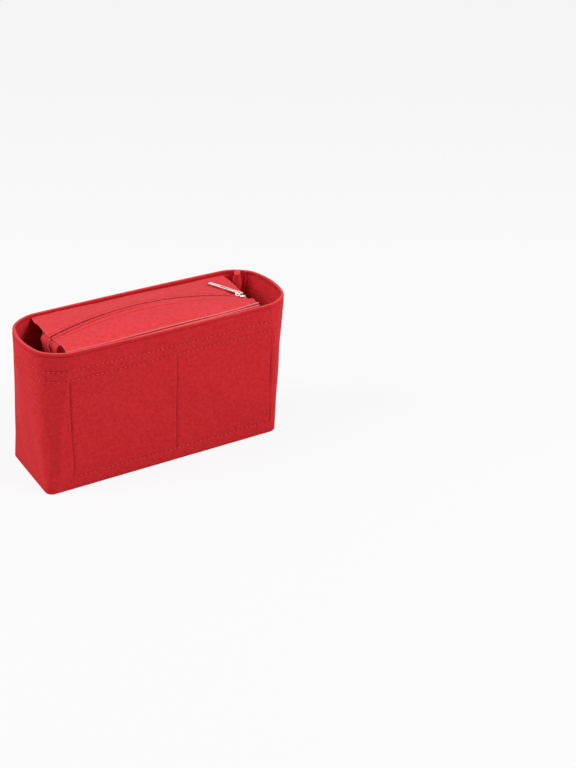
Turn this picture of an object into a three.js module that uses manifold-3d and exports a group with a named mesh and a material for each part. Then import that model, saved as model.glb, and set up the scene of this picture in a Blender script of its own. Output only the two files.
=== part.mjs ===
// Purse organizer insert: an open felt bin with inner pockets and a zipped pouch that lifts out.
// Millimetres. X runs along the bin to the right, -Y is its front and +Z is up.
// The origin is on the rest face, under the middle of the base.

import * as THREE from 'three';
import * as BufferGeometryUtils from 'three/addons/utils/BufferGeometryUtils.js';
import Module from 'manifold-3d';

const wasm = await Module();
wasm.setup();

// Bin: outer sizes at its foot and at its rim
const binHeight = 150;
const footHalfLength = 126.9;
const footHalfDepth = 46.6;
const footCornerRadius = 8.3;
const footEdgeRound = 2.2;
const rimHalfLength = 123.4;
const rimHalfDepth = 49;
const rimCornerRadius = 21;
const rimEndBow = 13.1;
const rimSideBow = 1.6;
const rimShiftRight = 8.8;
const rimShiftForward = 6.8;
const rimEdgeRound = 0.8;

// Felt layers and the clearances between them
const wallThickness = 2.6;
const facingThickness = 2;
const facingDepth = 34;
const baseThickness = 3;
const layerGap = 0.3;

// Seam where the two ends of the wall strip turn in, at the back right corner
const seamAngle = THREE.MathUtils.degToRad(47);
const seamFinDepth = 14;
const seamLayGap = 0.3;
const seamNotchDepth = 1.6;
const seamTurnRadius = 1.4;
const seamInnerTurn = 0.3;
const seamStitchInset = 3;

// Stitch rows: thread section, and where each row runs
const threadWidth = 0.8;
const threadThickness = 0.5;
const rimRowDrop = 3.5;
const bandUpperRowDrop = 18.7;
const bandLowerRowDrop = 29;
const baseRowRise = 0.3;

// Inner pockets: one felt panel along the front and one along the back, each split in two
const pocketThickness = 1.6;
const pocketBottomRowHeight = 14;
const pocketHem = 3;
const pocketTopGap = 4;
const pocketGape = 6.6;
const pocketGapeShape = 1.5;
const pocketLeftInset = 27.9;
const pocketMiddleRow = 10.6;
const pocketRightInset = 10.4;
const pocketSeamGap = 5;

// Pouch: felt shell, its ends and the heights of the seams along its top
const pouchFelt = 2;
const pouchRestGap = 0.3;
const pouchSideGap = 0.6;
const pouchLeftGap = 25.6;
const pouchRightFrontGap = 21.5;
const pouchRightBackGap = 13.5;
const pouchSeamGap = 3;
const pouchFootRadius = 8;
const pouchRimGap = 2.2;
const pouchFrontLipReach = 2.6;
const pouchBackLipReach = 4.8;
const pouchLipRise = 1;
const frontSeamLeftDrop = 1.5;
const frontSeamRightRise = 2.5;
const backSeamDrop = 3.3;
const panelCrown = 1.2;
const panelEndOverhang = 1;
const gussetStitchInset = 3;
const shellTopGap = 0.8;

// Zip: three points that its line passes through, measured from the rim and the bin's middle
const zipLeftForward = 10;
const zipLeftDrop = 3;
const zipCrestRight = -10;
const zipCrestForward = 3;
const zipCrestRise = 6.2;
const zipRightForward = 12;
const zipRightDrop = 8.3;
const zipChannelHalf = 2.2;
const zipFlatHalf = 6.5;
const tapeHalfWidth = 13.5;
const tapeThickness = 0.6;
const coilInnerHalf = 0.6;
const coilWidth = 1.3;
const coilHeight = 1.3;
const stopLength = 2;
const stopHeight = 0.5;
const stopEndInset = 0.6;
const bottomStopInset = 9.5;
const tailBendRadius = 6;
const tailLength = 18;
const tapeEndBendRadius = 1.6;
const tapeEndLength = 6;
const frontTopstitchInset = 9;
const backTopstitchInset = 3.4;

// Slider, its pull link and its pull tab
const sliderLength = 11;
const sliderNoseHalf = 4;
const sliderTailHalf = 2.8;
const sliderPlate = 1.2;
const sliderUnderHalf = 3.2;
const sliderUnderPlate = 0.9;
const sliderLift = 0.4;
const sliderPostHalf = 0.3;
const sliderPostLength = 4;
const sliderPostSink = 0.2;
const sliderEndGap = 1;
const bridgeWindowHalf = 1.8;
const bridgeLeg = 0.8;
const bridgeTop = 1;
const bridgeHalfWidth = 0.6;
const linkBar = 0.8;
const linkThickness = 0.9;
const linkHoleHalf = 2.7;
const linkSideBar = 1;
const linkReach = 4.3;
const linkCornerRadius = 0.7;
const pullAngle = THREE.MathUtils.degToRad(52);
const tabDroop = THREE.MathUtils.degToRad(3);
const tabLength = 33;
const tabHalfWidth = 3.2;
const tabThickness = 1.2;
const tabCornerRadius = 0.9;
const tabShoulder = 1.9;
const tabNeckGap = 0.3;
const knuckleOuterRadius = 1.2;
const knuckleInnerRadius = 0.76;
const knuckleGap = 0.25;
const tabSlotHalfWidth = 1;
const tabSlotStart = 12;
const tabSlotLength = 7.8;
const tabHoleRadius = 0.9;
const tabHoleInset = 3.6;

// How finely the curves are cut
const segmentSteps = 6;
const turnSteps = 3;
const roundSteps = 3;
const heightSteps = 3;
const pocketAcross = 6;
const pocketUp = 5;
const zipSteps = 24;
const bendSteps = 6;
const roundFacets = 16;
const bisections = 40;
const probeShare = 0.01;
const halfShare = 0.5;

const quarterTurn = Math.PI / 2;
const mix = THREE.MathUtils.lerp;
const up = new THREE.Vector3(0, 0, 1);

// Colours of the felt, thread, zip and nickel
const feltWall = feltMaterial(0xc22a36);
const feltFacing = feltMaterial(0xc83340);
const feltPocket = feltMaterial(0xb9242f);
const feltPouch = feltMaterial(0xd8404a);
const thread = new THREE.MeshStandardMaterial({ color: 0xd9656c, roughness: 0.7, metalness: 0 });
const tapeCloth = new THREE.MeshStandardMaterial({ color: 0xc62d3b, roughness: 0.7, metalness: 0 });
const nylon = new THREE.MeshStandardMaterial({ color: 0xb3202f, roughness: 0.45, metalness: 0 });
const nickel = new THREE.MeshStandardMaterial({ color: 0xd8d3cc, roughness: 0.22, metalness: 1 });

function feltMaterial(color) {
  return new THREE.MeshStandardMaterial({ color, roughness: 0.95, metalness: 0 });
}

// Closed bodies from grids of points

function signedVolume(positions, triangles) {
  const [a, b, c] = [new THREE.Vector3(), new THREE.Vector3(), new THREE.Vector3()];
  let sum = 0;
  for (let i = 0; i < triangles.length; i += 3) {
    a.fromArray(positions, 3 * triangles[i]);
    b.fromArray(positions, 3 * triangles[i + 1]);
    c.fromArray(positions, 3 * triangles[i + 2]);
    sum += a.dot(b.cross(c));
  }
  return sum;
}

function closedBody(positions, triangles) {
  if (signedVolume(positions, triangles) < 0) {
    triangles.reverse();
  }
  const geometry = new THREE.BufferGeometry();
  geometry.setAttribute('position', new THREE.Float32BufferAttribute(positions, 3));
  geometry.setIndex(triangles);
  geometry.computeVertexNormals();
  return geometry;
}

// A slab between two grids of points, face and back, that have the same rows and columns
function slab(face, back, loop = false) {
  const rows = face.length;
  const columns = face[0].length;
  const positions = [face, back].flat(2).flatMap((point) => point.toArray());
  const at = (layer, row, column) => (layer * rows + row) * columns + (column % columns);
  const triangles = [];
  const quad = (a, b, c, d) => triangles.push(a, b, c, a, c, d);
  const spans = loop ? columns : columns - 1;
  for (let column = 0; column < spans; column += 1) {
    const next = column + 1;
    for (let row = 0; row < rows - 1; row += 1) {
      quad(at(0, row, column), at(0, row, next), at(0, row + 1, next), at(0, row + 1, column));
      quad(at(1, row + 1, column), at(1, row + 1, next), at(1, row, next), at(1, row, column));
    }
    quad(at(1, 0, column), at(1, 0, next), at(0, 0, next), at(0, 0, column));
    quad(at(0, rows - 1, column), at(0, rows - 1, next), at(1, rows - 1, next), at(1, rows - 1, column));
  }
  if (!loop) {
    const end = columns - 1;
    for (let row = 0; row < rows - 1; row += 1) {
      quad(at(0, row, 0), at(0, row + 1, 0), at(1, row + 1, 0), at(1, row, 0));
      quad(at(1, row, end), at(1, row + 1, end), at(0, row + 1, end), at(0, row, end));
    }
  }
  return closedBody(positions, triangles);
}

function toSolid(geometry) {
  const bare = geometry.clone();
  bare.deleteAttribute('normal');
  bare.deleteAttribute('uv');
  const merged = BufferGeometryUtils.mergeVertices(bare);
  const vertProperties = new Float32Array(merged.attributes.position.array);
  const triVerts = new Uint32Array(merged.index.array);
  return new wasm.Manifold(new wasm.Mesh({ numProp: 3, vertProperties, triVerts }));
}

function fromSolid(solid) {
  const cut = solid.getMesh();
  const positions = [];
  for (let i = 0; i < cut.vertProperties.length; i += cut.numProp) {
    positions.push(...cut.vertProperties.slice(i, i + 3));
  }
  return closedBody(positions, Array.from(cut.triVerts));
}

const insert = new THREE.Group();
const pouch = new THREE.Group();
insert.add(pouch);

function add(parent, name, geometry, material) {
  const mesh = new THREE.Mesh(geometry, material);
  mesh.name = name;
  parent.add(mesh);
  return mesh;
}

// The bin's outline: u runs round it, one unit to each corner and each side, from the right end

const cornerSigns = [[1, 1], [-1, 1], [-1, -1], [1, -1]];
const lapLength = 2 * cornerSigns.length;

function sizesAt(z) {
  const rise = z / binHeight;
  return {
    rise,
    length: mix(footHalfLength, rimHalfLength, rise),
    depth: mix(footHalfDepth, rimHalfDepth, rise),
    radius: mix(footCornerRadius, rimCornerRadius, rise),
  };
}

function cornerPoint(corner, share, sizes) {
  const angle = (corner + share) * quarterTurn;
  const [signX, signY] = cornerSigns[corner % cornerSigns.length];
  return new THREE.Vector2(
    signX * (sizes.length - sizes.radius) + sizes.radius * Math.cos(angle),
    signY * (sizes.depth - sizes.radius) + sizes.radius * Math.sin(angle),
  );
}

function outlinePoint(u, z) {
  const sizes = sizesAt(z);
  const lap = (u + lapLength) % lapLength;
  const segment = Math.floor(lap);
  const share = lap - segment;
  const corner = Math.floor(segment / 2);
  const point = segment % 2 === 0
    ? cornerPoint(corner, share, sizes)
    : cornerPoint(corner, 1, sizes).lerp(cornerPoint(corner + 1, 0, sizes), share);
  const alongShare = point.x / sizes.length;
  const acrossShare = point.y / sizes.depth;
  const endBow = rimEndBow * sizes.rise * Math.max(0, 1 - acrossShare ** 2) * alongShare ** 2;
  const sideBow = rimSideBow * sizes.rise * Math.max(0, 1 - alongShare ** 2) * acrossShare ** 2;
  point.x += Math.sign(point.x) * endBow + rimShiftRight * sizes.rise;
  point.y += Math.sign(point.y) * sideBow - rimShiftForward * sizes.rise;
  return point;
}

function tangentAt(u, z) {
  return outlinePoint(u + probeShare, z).sub(outlinePoint(u - probeShare, z)).normalize();
}

// A point of the wall at height z, inset from its outer face
function wallPoint(u, z, inset) {
  const point = outlinePoint(u, z);
  const tangent = tangentAt(u, z);
  return new THREE.Vector3(point.x - tangent.y * inset, point.y + tangent.x * inset, z);
}

const backRange = [0, 3];
const frontRange = [7, 4];

// The wall's y at a given x, on its front or its back
function wallYAt(range, x, z, inset) {
  let [right, left] = range;
  for (let i = 0; i < bisections; i += 1) {
    const middle = mix(right, left, halfShare);
    if (wallPoint(middle, z, inset).x > x) {
      right = middle;
    } else {
      left = middle;
    }
  }
  return wallPoint(right, z, inset).y;
}

// Wall strip and rim facing: each goes round the bin and turns in at the seam

const seamU = seamAngle / quarterTurn;
const seamHalf = seamLayGap / 2;
const wallFinHalf = seamHalf + wallThickness;
const facingInset = wallThickness + layerGap;
const facingFinHalf = wallFinHalf + layerGap;
const facingFinOuter = facingFinHalf + facingThickness;
const facingBottom = binHeight - facingDepth;
const openMarginShare = 0.04;

// Inward depth and sideways distance of a wall point from the seam
function fromSeam(point, z) {
  const seam = outlinePoint(seamU, z);
  const along = tangentAt(seamU, z);
  const [x, y] = [point.x - seam.x, point.y - seam.y];
  return { depth: along.x * y - along.y * x, side: along.x * x + along.y * y };
}

// How far round from the seam the wall is a given distance to one side of it
function turnShare(z, inset, half, direction) {
  let [near, far] = [0, 2];
  for (let i = 0; i < bisections; i += 1) {
    const middle = mix(near, far, halfShare);
    const { side } = fromSeam(wallPoint(seamU + direction * middle, z, inset), z);
    if (direction * side > half) {
      far = middle;
    } else {
      near = middle;
    }
  }
  return far;
}

const openShare = openMarginShare + Math.max(...[1, -1].flatMap((direction) => [
  turnShare(0, wallThickness, wallFinHalf + seamInnerTurn, direction),
  turnShare(0, wallThickness + layerGap, wallFinHalf + layerGap + seamInnerTurn, direction),
  turnShare(facingBottom, facingInset + facingThickness, facingFinOuter + seamInnerTurn, direction),
]));

const ringStations = [seamU + openShare];
for (let step = 0; step <= lapLength * segmentSteps; step += 1) {
  const u = step / segmentSteps;
  if (u > seamU + openShare + probeShare && u < lapLength + seamU - openShare - probeShare) {
    ringStations.push(u);
  }
}
ringStations.push(lapLength + seamU - openShare);

// The points of one side of a strip at height z, from one turned in end to the other
function stripSide(z, inset, half, finDepth, turn, notch = 0) {
  const seam = outlinePoint(seamU, z);
  const along = tangentAt(seamU, z);
  const at = (depth, side) => new THREE.Vector3(
    seam.x - along.y * depth + along.x * side,
    seam.y + along.x * depth + along.y * side,
    z,
  );
  const turned = (direction) => {
    const rootShare = turnShare(z, inset, half, direction);
    const root = fromSeam(wallPoint(seamU + direction * rootShare, z, inset), z).depth + notch;
    const start = turnShare(z, inset, half + turn, direction);
    const points = [at(finDepth, direction * half), at(root, direction * half)];
    for (let step = 0; step < turnSteps; step += 1) {
      const share = mix(start, openShare, step / turnSteps);
      points.push(wallPoint(seamU + direction * share, z, inset));
    }
    return points;
  };
  return [
    ...turned(1),
    ...ringStations.map((u) => wallPoint(u, z, inset)),
    ...turned(-1).reverse(),
  ];
}

const largestRoundShare = 0.85;
const footRound = Math.min(footEdgeRound, wallThickness * largestRoundShare);

// The wall's rows of points: the height of each and how far its outer face is rounded in
const wallRows = [];
for (let step = 0; step <= roundSteps; step += 1) {
  const angle = quarterTurn * step / roundSteps;
  wallRows.push({ z: footRound * (1 - Math.cos(angle)), inset: footRound * (1 - Math.sin(angle)) });
}
for (let step = 1; step <= heightSteps; step += 1) {
  wallRows.push({ z: mix(footRound, facingBottom, step / heightSteps), inset: 0 });
}
wallRows.push({ z: binHeight - rimEdgeRound, inset: 0 });
wallRows.push({ z: binHeight, inset: rimEdgeRound });

add(insert, 'bin_wall', slab(
  wallRows.map(({ z, inset }) => stripSide(
    z, inset, seamHalf, seamFinDepth, seamTurnRadius, seamNotchDepth,
  )),
  wallRows.map(({ z }) => stripSide(z, wallThickness, wallFinHalf, seamFinDepth, seamInnerTurn)),
), feltWall);

const facingRows = [
  { z: facingBottom, inset: 0 },
  { z: binHeight - rimEdgeRound, inset: 0 },
  { z: binHeight, inset: rimEdgeRound },
];
add(insert, 'rim_facing', slab(
  facingRows.map(({ z }) => stripSide(z, facingInset, facingFinHalf, seamFinDepth, seamInnerTurn)),
  facingRows.map(({ z, inset }) => stripSide(
    z, facingInset + facingThickness - inset, facingFinOuter, seamFinDepth, seamInnerTurn,
  )),
), feltFacing);

// Base panel, cut round the turned in seam
const baseOutline = stripSide(
  0, wallThickness + layerGap, wallFinHalf + layerGap, seamFinDepth + layerGap, seamInnerTurn,
);
const baseShape = new THREE.Shape(baseOutline.map((point) => new THREE.Vector2(point.x, point.y)));
add(insert, 'base_panel', new THREE.ExtrudeGeometry(
  baseShape, { depth: baseThickness, bevelEnabled: false },
), feltWall);

// Stitch rows that go round the bin

function outerRow(z) {
  const ring = (height, lift) => stripSide(
    height, -lift, seamHalf, seamFinDepth, seamTurnRadius,
  ).slice(2, -2);
  const low = z - threadWidth / 2;
  const high = z + threadWidth / 2;
  const far = layerGap + threadThickness;
  return slab([ring(low, far), ring(high, far)], [ring(low, layerGap), ring(high, layerGap)]);
}

add(insert, 'rim_edge_stitch', outerRow(binHeight - rimRowDrop), thread);
add(insert, 'band_upper_stitch', outerRow(binHeight - bandUpperRowDrop), thread);
add(insert, 'band_lower_stitch', outerRow(binHeight - bandLowerRowDrop), thread);

// The row that holds the base to the wall lies in the corner between them
function baseRow(z, extra) {
  return ringStations.map((u) => wallPoint(u, z, wallThickness + layerGap + extra));
}
const baseRowLow = baseThickness + baseRowRise;
const baseRowHigh = baseRowLow + threadWidth;
add(insert, 'base_seam_stitch', slab(
  [baseRow(baseRowLow, 0), baseRow(baseRowHigh, 0)],
  [baseRow(baseRowLow, threadThickness), baseRow(baseRowHigh, threadThickness)],
), thread);

// The row that closes the turned in seam runs down the side of the fin, stepping out over the facing
function seamRowPoints(extra) {
  const point = (z, half, depth) => {
    const seam = outlinePoint(seamU, z);
    const along = tangentAt(seamU, z);
    return new THREE.Vector3(
      seam.x - along.y * depth + along.x * half,
      seam.y + along.x * depth + along.y * half,
      z,
    );
  };
  const nearDepth = seamFinDepth - seamStitchInset;
  const farDepth = nearDepth + threadWidth;
  const stepDown = facingBottom - layerGap - threadThickness;
  const lower = wallFinHalf + layerGap + extra;
  const upper = facingFinOuter + layerGap + extra;
  const heights = [
    [baseRowHigh + layerGap, lower],
    [stepDown - extra, lower],
    [stepDown - extra, upper],
    [binHeight - rimEdgeRound, upper],
  ];
  return heights.map(([z, half]) => [point(z, half, nearDepth), point(z, half, farDepth)]);
}
add(insert, 'wall_seam_stitch', slab(seamRowPoints(0), seamRowPoints(threadThickness)), thread);

// Inner pockets: each panel bows away from the wall between its stitch rows

const pocketBottom = pocketBottomRowHeight - pocketHem;
const pocketTop = facingBottom - pocketTopGap;

const pocketLeftRow = pocketLeftInset - footHalfLength;
const pocketRightRow = footHalfLength - pocketRightInset;

// The back panel ends short of the turned in seam
const finTip = Math.min(...[0, facingBottom].map(
  (z) => stripSide(z, wallThickness, wallFinHalf, seamFinDepth, seamInnerTurn)[0].x,
));
const backRightRow = Math.min(pocketRightRow, finTip - pocketSeamGap - pocketHem);
const rowsOf = (range) => [
  pocketLeftRow, pocketMiddleRow, range === frontRange ? pocketRightRow : backRightRow,
];

function pocketBow(range, x, z) {
  const rows = rowsOf(range);
  const rise = Math.max(0, (z - pocketBottomRowHeight) / (pocketTop - pocketBottomRowHeight));
  for (let i = 0; i + 1 < rows.length; i += 1) {
    const share = (x - rows[i]) / (rows[i + 1] - rows[i]);
    if (share > 0 && share < 1) {
      return pocketGape * Math.sin(Math.PI * share) * rise ** pocketGapeShape;
    }
  }
  return 0;
}

function pocketColumns(range) {
  const rows = rowsOf(range);
  const columns = [rows[0] - pocketHem];
  for (let i = 0; i + 1 < rows.length; i += 1) {
    for (let step = 0; step < pocketAcross; step += 1) {
      columns.push(mix(rows[i], rows[i + 1], step / pocketAcross));
    }
  }
  columns.push(rows.at(-1), rows.at(-1) + pocketHem);
  return columns;
}

// A point on a pocket panel, offset from the wall's inner face towards the middle of the bin
function pocketPoint(range, x, z, offset) {
  const inward = range === frontRange ? 1 : -1;
  const wall = wallYAt(range, x, z, wallThickness);
  return new THREE.Vector3(x, wall + inward * (layerGap + pocketBow(range, x, z) + offset), z);
}

function pocketPanel(range) {
  const columns = pocketColumns(range);
  const grid = (offset) => {
    const rows = [columns.map((x) => pocketPoint(range, x, pocketBottom, offset))];
    for (let step = 0; step <= pocketUp; step += 1) {
      const z = mix(pocketBottomRowHeight, pocketTop, step / pocketUp);
      rows.push(columns.map((x) => pocketPoint(range, x, z, offset)));
    }
    return rows;
  };
  return slab(grid(0), grid(pocketThickness));
}

// A row down the outside of the wall, through the pocket panel inside it
function verticalRow(range, x) {
  const outward = range === frontRange ? -1 : 1;
  const low = pocketBottomRowHeight + threadWidth;
  const high = binHeight - bandLowerRowDrop - threadWidth;
  const grid = (lift) => {
    const rows = [];
    for (let step = 0; step <= heightSteps; step += 1) {
      const z = mix(low, high, step / heightSteps);
      rows.push([x - threadWidth / 2, x + threadWidth / 2].map((edge) => new THREE.Vector3(
        edge, wallYAt(range, edge, z, 0) + outward * lift, z,
      )));
    }
    return rows;
  };
  return slab(grid(layerGap), grid(layerGap + threadThickness));
}

// The row along the foot of the pockets, on the outside of the wall
function bottomRow(range) {
  const outward = range === frontRange ? -1 : 1;
  const columns = pocketColumns(range).slice(1, -1);
  const grid = (lift) => [-threadWidth / 2, threadWidth / 2].map((side) => columns.map((x) => {
    const z = pocketBottomRowHeight + side;
    return new THREE.Vector3(x, wallYAt(range, x, z, 0) + outward * lift, z);
  }));
  return slab(grid(layerGap), grid(layerGap + threadThickness));
}

for (const [side, range] of [['front', frontRange], ['back', backRange]]) {
  add(insert, `${side}_pocket_panel`, pocketPanel(range), feltPocket);
  for (const [i, place] of ['left', 'middle', 'right'].entries()) {
    add(insert, `${side}_pocket_${place}_stitch`, verticalRow(range, rowsOf(range)[i]), thread);
  }
  add(insert, `${side}_pocket_bottom_stitch`, bottomRow(range), thread);
}

// Pouch sizes, from the space that the bin leaves for it

const leftU = 3.5;
const rightU = 7.5;
const rimInset = facingInset + facingThickness;
const binInnerXs = (u) => [wallPoint(u, 0, wallThickness).x, wallPoint(u, binHeight, rimInset).x];
const binLeftInner = Math.max(...binInnerXs(leftU));
const binRightInner = Math.min(...binInnerXs(rightU));
const pouchLeft = binLeftInner + pouchLeftGap;
const pouchRightFront = binRightInner - pouchRightFrontGap;
const seamStandsAt = Math.min(...[facingBottom, binHeight].map(
  (z) => stripSide(z, facingInset + facingThickness, facingFinOuter, seamFinDepth, seamInnerTurn)[0].x,
)) - layerGap - threadThickness;
const pouchRightBack = Math.min(binRightInner - pouchRightBackGap, seamStandsAt - pouchSeamGap);
const pouchMiddle = mix(pouchLeft, pouchRightFront, halfShare);
const pocketStand = wallThickness + layerGap + pocketGape + pocketThickness + pouchSideGap;
const bindingHeights = [0, pocketTop, binHeight];
const bindingXs = [pouchLeft, pouchMiddle, pouchRightFront];
const bindingInsets = [
  wallThickness + layerGap + pocketThickness + pouchSideGap,
  pocketStand,
  rimInset + pouchRimGap + pouchFrontLipReach,
];

// The pouch may be no further out at one height than what is above it allows, or it would not lift
function pouchReach(range, pick, level) {
  const limits = bindingHeights.slice(level).map((z, i) => pick(
    ...bindingXs.map((x) => wallYAt(range, x, z, bindingInsets[level + i])),
  ));
  return pick(...limits);
}
const pouchFrontFoot = pouchReach(frontRange, Math.max, 0);
const pouchFrontMiddle = pouchReach(frontRange, Math.max, 1);
const pouchFrontTop = pouchReach(frontRange, Math.max, 2);
const pouchBack = pouchReach(backRange, Math.min, 0);
const pouchFoot = baseThickness + pouchRestGap;
const backSeamHeight = binHeight - backSeamDrop;
const frontSeamLeft = binHeight - frontSeamLeftDrop;
const frontSeamRight = binHeight + frontSeamRightRise;

// The zip's line is an arc through three points, in a plane that leans back

const zipLeftPoint = new THREE.Vector3(pouchLeft, -zipLeftForward, binHeight - zipLeftDrop);
const zipCrestPoint = new THREE.Vector3(zipCrestRight, -zipCrestForward, binHeight + zipCrestRise);
const zipRightPoint = new THREE.Vector3(pouchRightBack, -zipRightForward, binHeight - zipRightDrop);

function arcThrough(first, middle, last) {
  const toMiddle = middle.clone().sub(first);
  const toLast = last.clone().sub(first);
  const axis = toMiddle.clone().cross(toLast);
  const centre = axis.clone().cross(toMiddle).multiplyScalar(toLast.lengthSq());
  centre.add(toLast.clone().cross(axis).multiplyScalar(toMiddle.lengthSq()));
  centre.divideScalar(2 * axis.lengthSq()).add(first);
  axis.normalize().negate();
  const radius = centre.distanceTo(first);
  const sweep = middle.clone().sub(centre).angleTo(first.clone().sub(centre))
    + middle.clone().sub(centre).angleTo(last.clone().sub(centre));
  return { centre, axis, radius, sweep };
}

const zipArc = arcThrough(zipLeftPoint, zipCrestPoint, zipRightPoint);
const zipLength = zipArc.radius * zipArc.sweep;

// Frame of the zip at a distance along it: x along the zip, y across it and z up from it
const crestFrame = (() => {
  const along = new THREE.Vector3().crossVectors(
    zipArc.axis, zipCrestPoint.clone().sub(zipArc.centre),
  ).normalize();
  if (along.x < 0) {
    along.negate();
  }
  const across = new THREE.Vector3(0, 1, 0);
  across.addScaledVector(along, -across.dot(along)).normalize();
  return { along, across, above: new THREE.Vector3().crossVectors(along, across) };
})();
const crestDistance = zipArc.radius * zipCrestPoint.clone().sub(zipArc.centre)
  .angleTo(zipLeftPoint.clone().sub(zipArc.centre));
const turnSign = Math.sign(new THREE.Vector3().crossVectors(
  zipArc.axis, zipCrestPoint.clone().sub(zipArc.centre),
).x);

function zipFrame(distance) {
  const angle = turnSign * (distance - crestDistance) / zipArc.radius;
  const turn = (vector) => vector.clone().applyAxisAngle(zipArc.axis, angle);
  return {
    point: turn(zipCrestPoint.clone().sub(zipArc.centre)).add(zipArc.centre),
    along: turn(crestFrame.along),
    across: turn(crestFrame.across),
    above: turn(crestFrame.above),
  };
}

function inFrame(frame, along, across, above) {
  return frame.point.clone()
    .addScaledVector(frame.along, along)
    .addScaledVector(frame.across, across)
    .addScaledVector(frame.above, above);
}

// Top of the pouch: two felt panels, from the zip's channel to the seams along the front and back

const frontSide = -1;
const backSide = 1;
const crownShare = 0.75;

function seamPoint(side, share) {
  if (side === frontSide) {
    return new THREE.Vector3(
      mix(pouchLeft, pouchRightFront, share), pouchFrontTop, mix(frontSeamLeft, frontSeamRight, share),
    );
  }
  return new THREE.Vector3(mix(pouchLeft, pouchRightBack, share), pouchBack, backSeamHeight);
}

// The section of one top panel at a share of the zip's length, from the channel outwards
function panelSection(side, share, sink) {
  const frame = zipFrame(zipLength * share);
  const edge = inFrame(frame, 0, side * zipChannelHalf, -sink);
  const flat = inFrame(frame, 0, side * zipFlatHalf, -sink);
  const seam = seamPoint(side, share).addScaledVector(up, -sink);
  const crown = flat.clone().lerp(seam, halfShare).addScaledVector(up, panelCrown);
  const tape = flat.clone().lerp(crown, (tapeHalfWidth - zipFlatHalf) / flat.distanceTo(crown));
  const outer = flat.clone().lerp(seam, crownShare).addScaledVector(up, panelCrown * crownShare);
  const reach = side === frontSide ? pouchFrontLipReach : pouchBackLipReach;
  const lip = seam.clone();
  lip.y += side * reach;
  lip.z += pouchLipRise;
  return [edge, flat, tape, crown, outer, seam, lip];
}

const zipShares = Array.from({ length: zipSteps + 1 }, (_, step) => step / zipSteps);

function topPanel(side) {
  return slab(
    zipShares.map((share) => panelSection(side, share, 0)),
    zipShares.map((share) => panelSection(side, share, pouchFelt)),
  );
}

// A point on a top panel's face, at a distance from the edge of the channel and lifted off it
function onPanel(side, share, distance, sink) {
  const section = panelSection(side, share, sink);
  let left = distance;
  for (let i = 0; i + 1 < section.length; i += 1) {
    const span = section[i].distanceTo(section[i + 1]);
    if (left <= span) {
      return section[i].clone().lerp(section[i + 1], left / span);
    }
    left -= span;
  }
  return section.at(-1);
}

add(pouch, 'pouch_top_front', topPanel(frontSide), feltPouch);
add(pouch, 'pouch_top_back', topPanel(backSide), feltPouch);

function topstitch(side, inset) {
  const row = (lift) => zipShares.map((share) => [
    onPanel(side, share, inset, -lift),
    onPanel(side, share, inset + threadWidth, -lift),
  ]);
  return slab(row(layerGap), row(layerGap + threadThickness));
}
add(pouch, 'zip_front_topstitch', topstitch(frontSide, frontTopstitchInset), thread);
add(pouch, 'zip_back_topstitch', topstitch(backSide, backTopstitchInset), thread);

// Zip: two tapes under the panels, each with its coil, bent down over both ends of the pouch

const tapeTop = -pouchFelt - layerGap;
const tapeUnder = tapeTop - tapeThickness;
const coilUnder = tapeTop + layerGap;
const coilTop = coilUnder + coilHeight;

// Carries a point of an end section round the bend and down, by a distance past the end
function bendPast(frame, outward, point, distance, radius) {
  const local = point.clone().sub(frame.point);
  const across = local.dot(frame.across);
  const above = local.dot(frame.above);
  const arm = radius + above - tapeUnder;
  const angle = Math.min(distance / radius, quarterTurn);
  const drop = Math.max(0, distance - radius * quarterTurn);
  return inFrame(
    frame,
    outward * arm * Math.sin(angle),
    across,
    tapeUnder - radius + arm * Math.cos(angle) - drop,
  );
}

// Rows of a strip along the zip, from the tail on the left to the end on the right
function zipStrip(section, tail, ending) {
  const rows = [];
  const bend = (frame, outward, share, distance, radius) => section(share)
    .map((point) => bendPast(frame, outward, point, distance, radius));
  const distances = (radius, length) => {
    const list = [];
    for (let step = 1; step <= bendSteps; step += 1) {
      list.push(radius * quarterTurn * step / bendSteps);
    }
    list.push(radius * quarterTurn + length);
    return list;
  };
  if (tail > 0) {
    const frame = zipFrame(0);
    for (const distance of distances(tailBendRadius, tail).reverse()) {
      rows.push(bend(frame, -1, 0, distance, tailBendRadius));
    }
  }
  rows.push(...zipShares.map((share) => section(share)));
  if (ending > 0) {
    const frame = zipFrame(zipLength);
    for (const distance of distances(tapeEndBendRadius, ending)) {
      rows.push(bend(frame, 1, 1, distance, tapeEndBendRadius));
    }
  }
  return rows;
}

function tapeSection(side, sink) {
  return (share) => {
    const frame = zipFrame(zipLength * share);
    const [, flat, tape] = panelSection(side, share, sink);
    return [inFrame(frame, 0, side * coilInnerHalf, -sink), flat, tape];
  };
}

function coilSection(side, above) {
  return (share) => {
    const frame = zipFrame(zipLength * share);
    return [
      inFrame(frame, 0, side * coilInnerHalf, above),
      inFrame(frame, 0, side * (coilInnerHalf + coilWidth), above),
    ];
  };
}

for (const [name, side] of [['front', frontSide], ['back', backSide]]) {
  add(pouch, `zip_tape_${name}`, slab(
    zipStrip(tapeSection(side, -tapeTop), tailLength, tapeEndLength),
    zipStrip(tapeSection(side, -tapeUnder), tailLength, tapeEndLength),
  ), tapeCloth);
  add(pouch, `zip_coil_${name}`, slab(
    zipStrip(coilSection(side, coilUnder), tailLength - stopLength, 0),
    zipStrip(coilSection(side, coilTop), tailLength - stopLength, 0),
  ), nylon);
}

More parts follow.
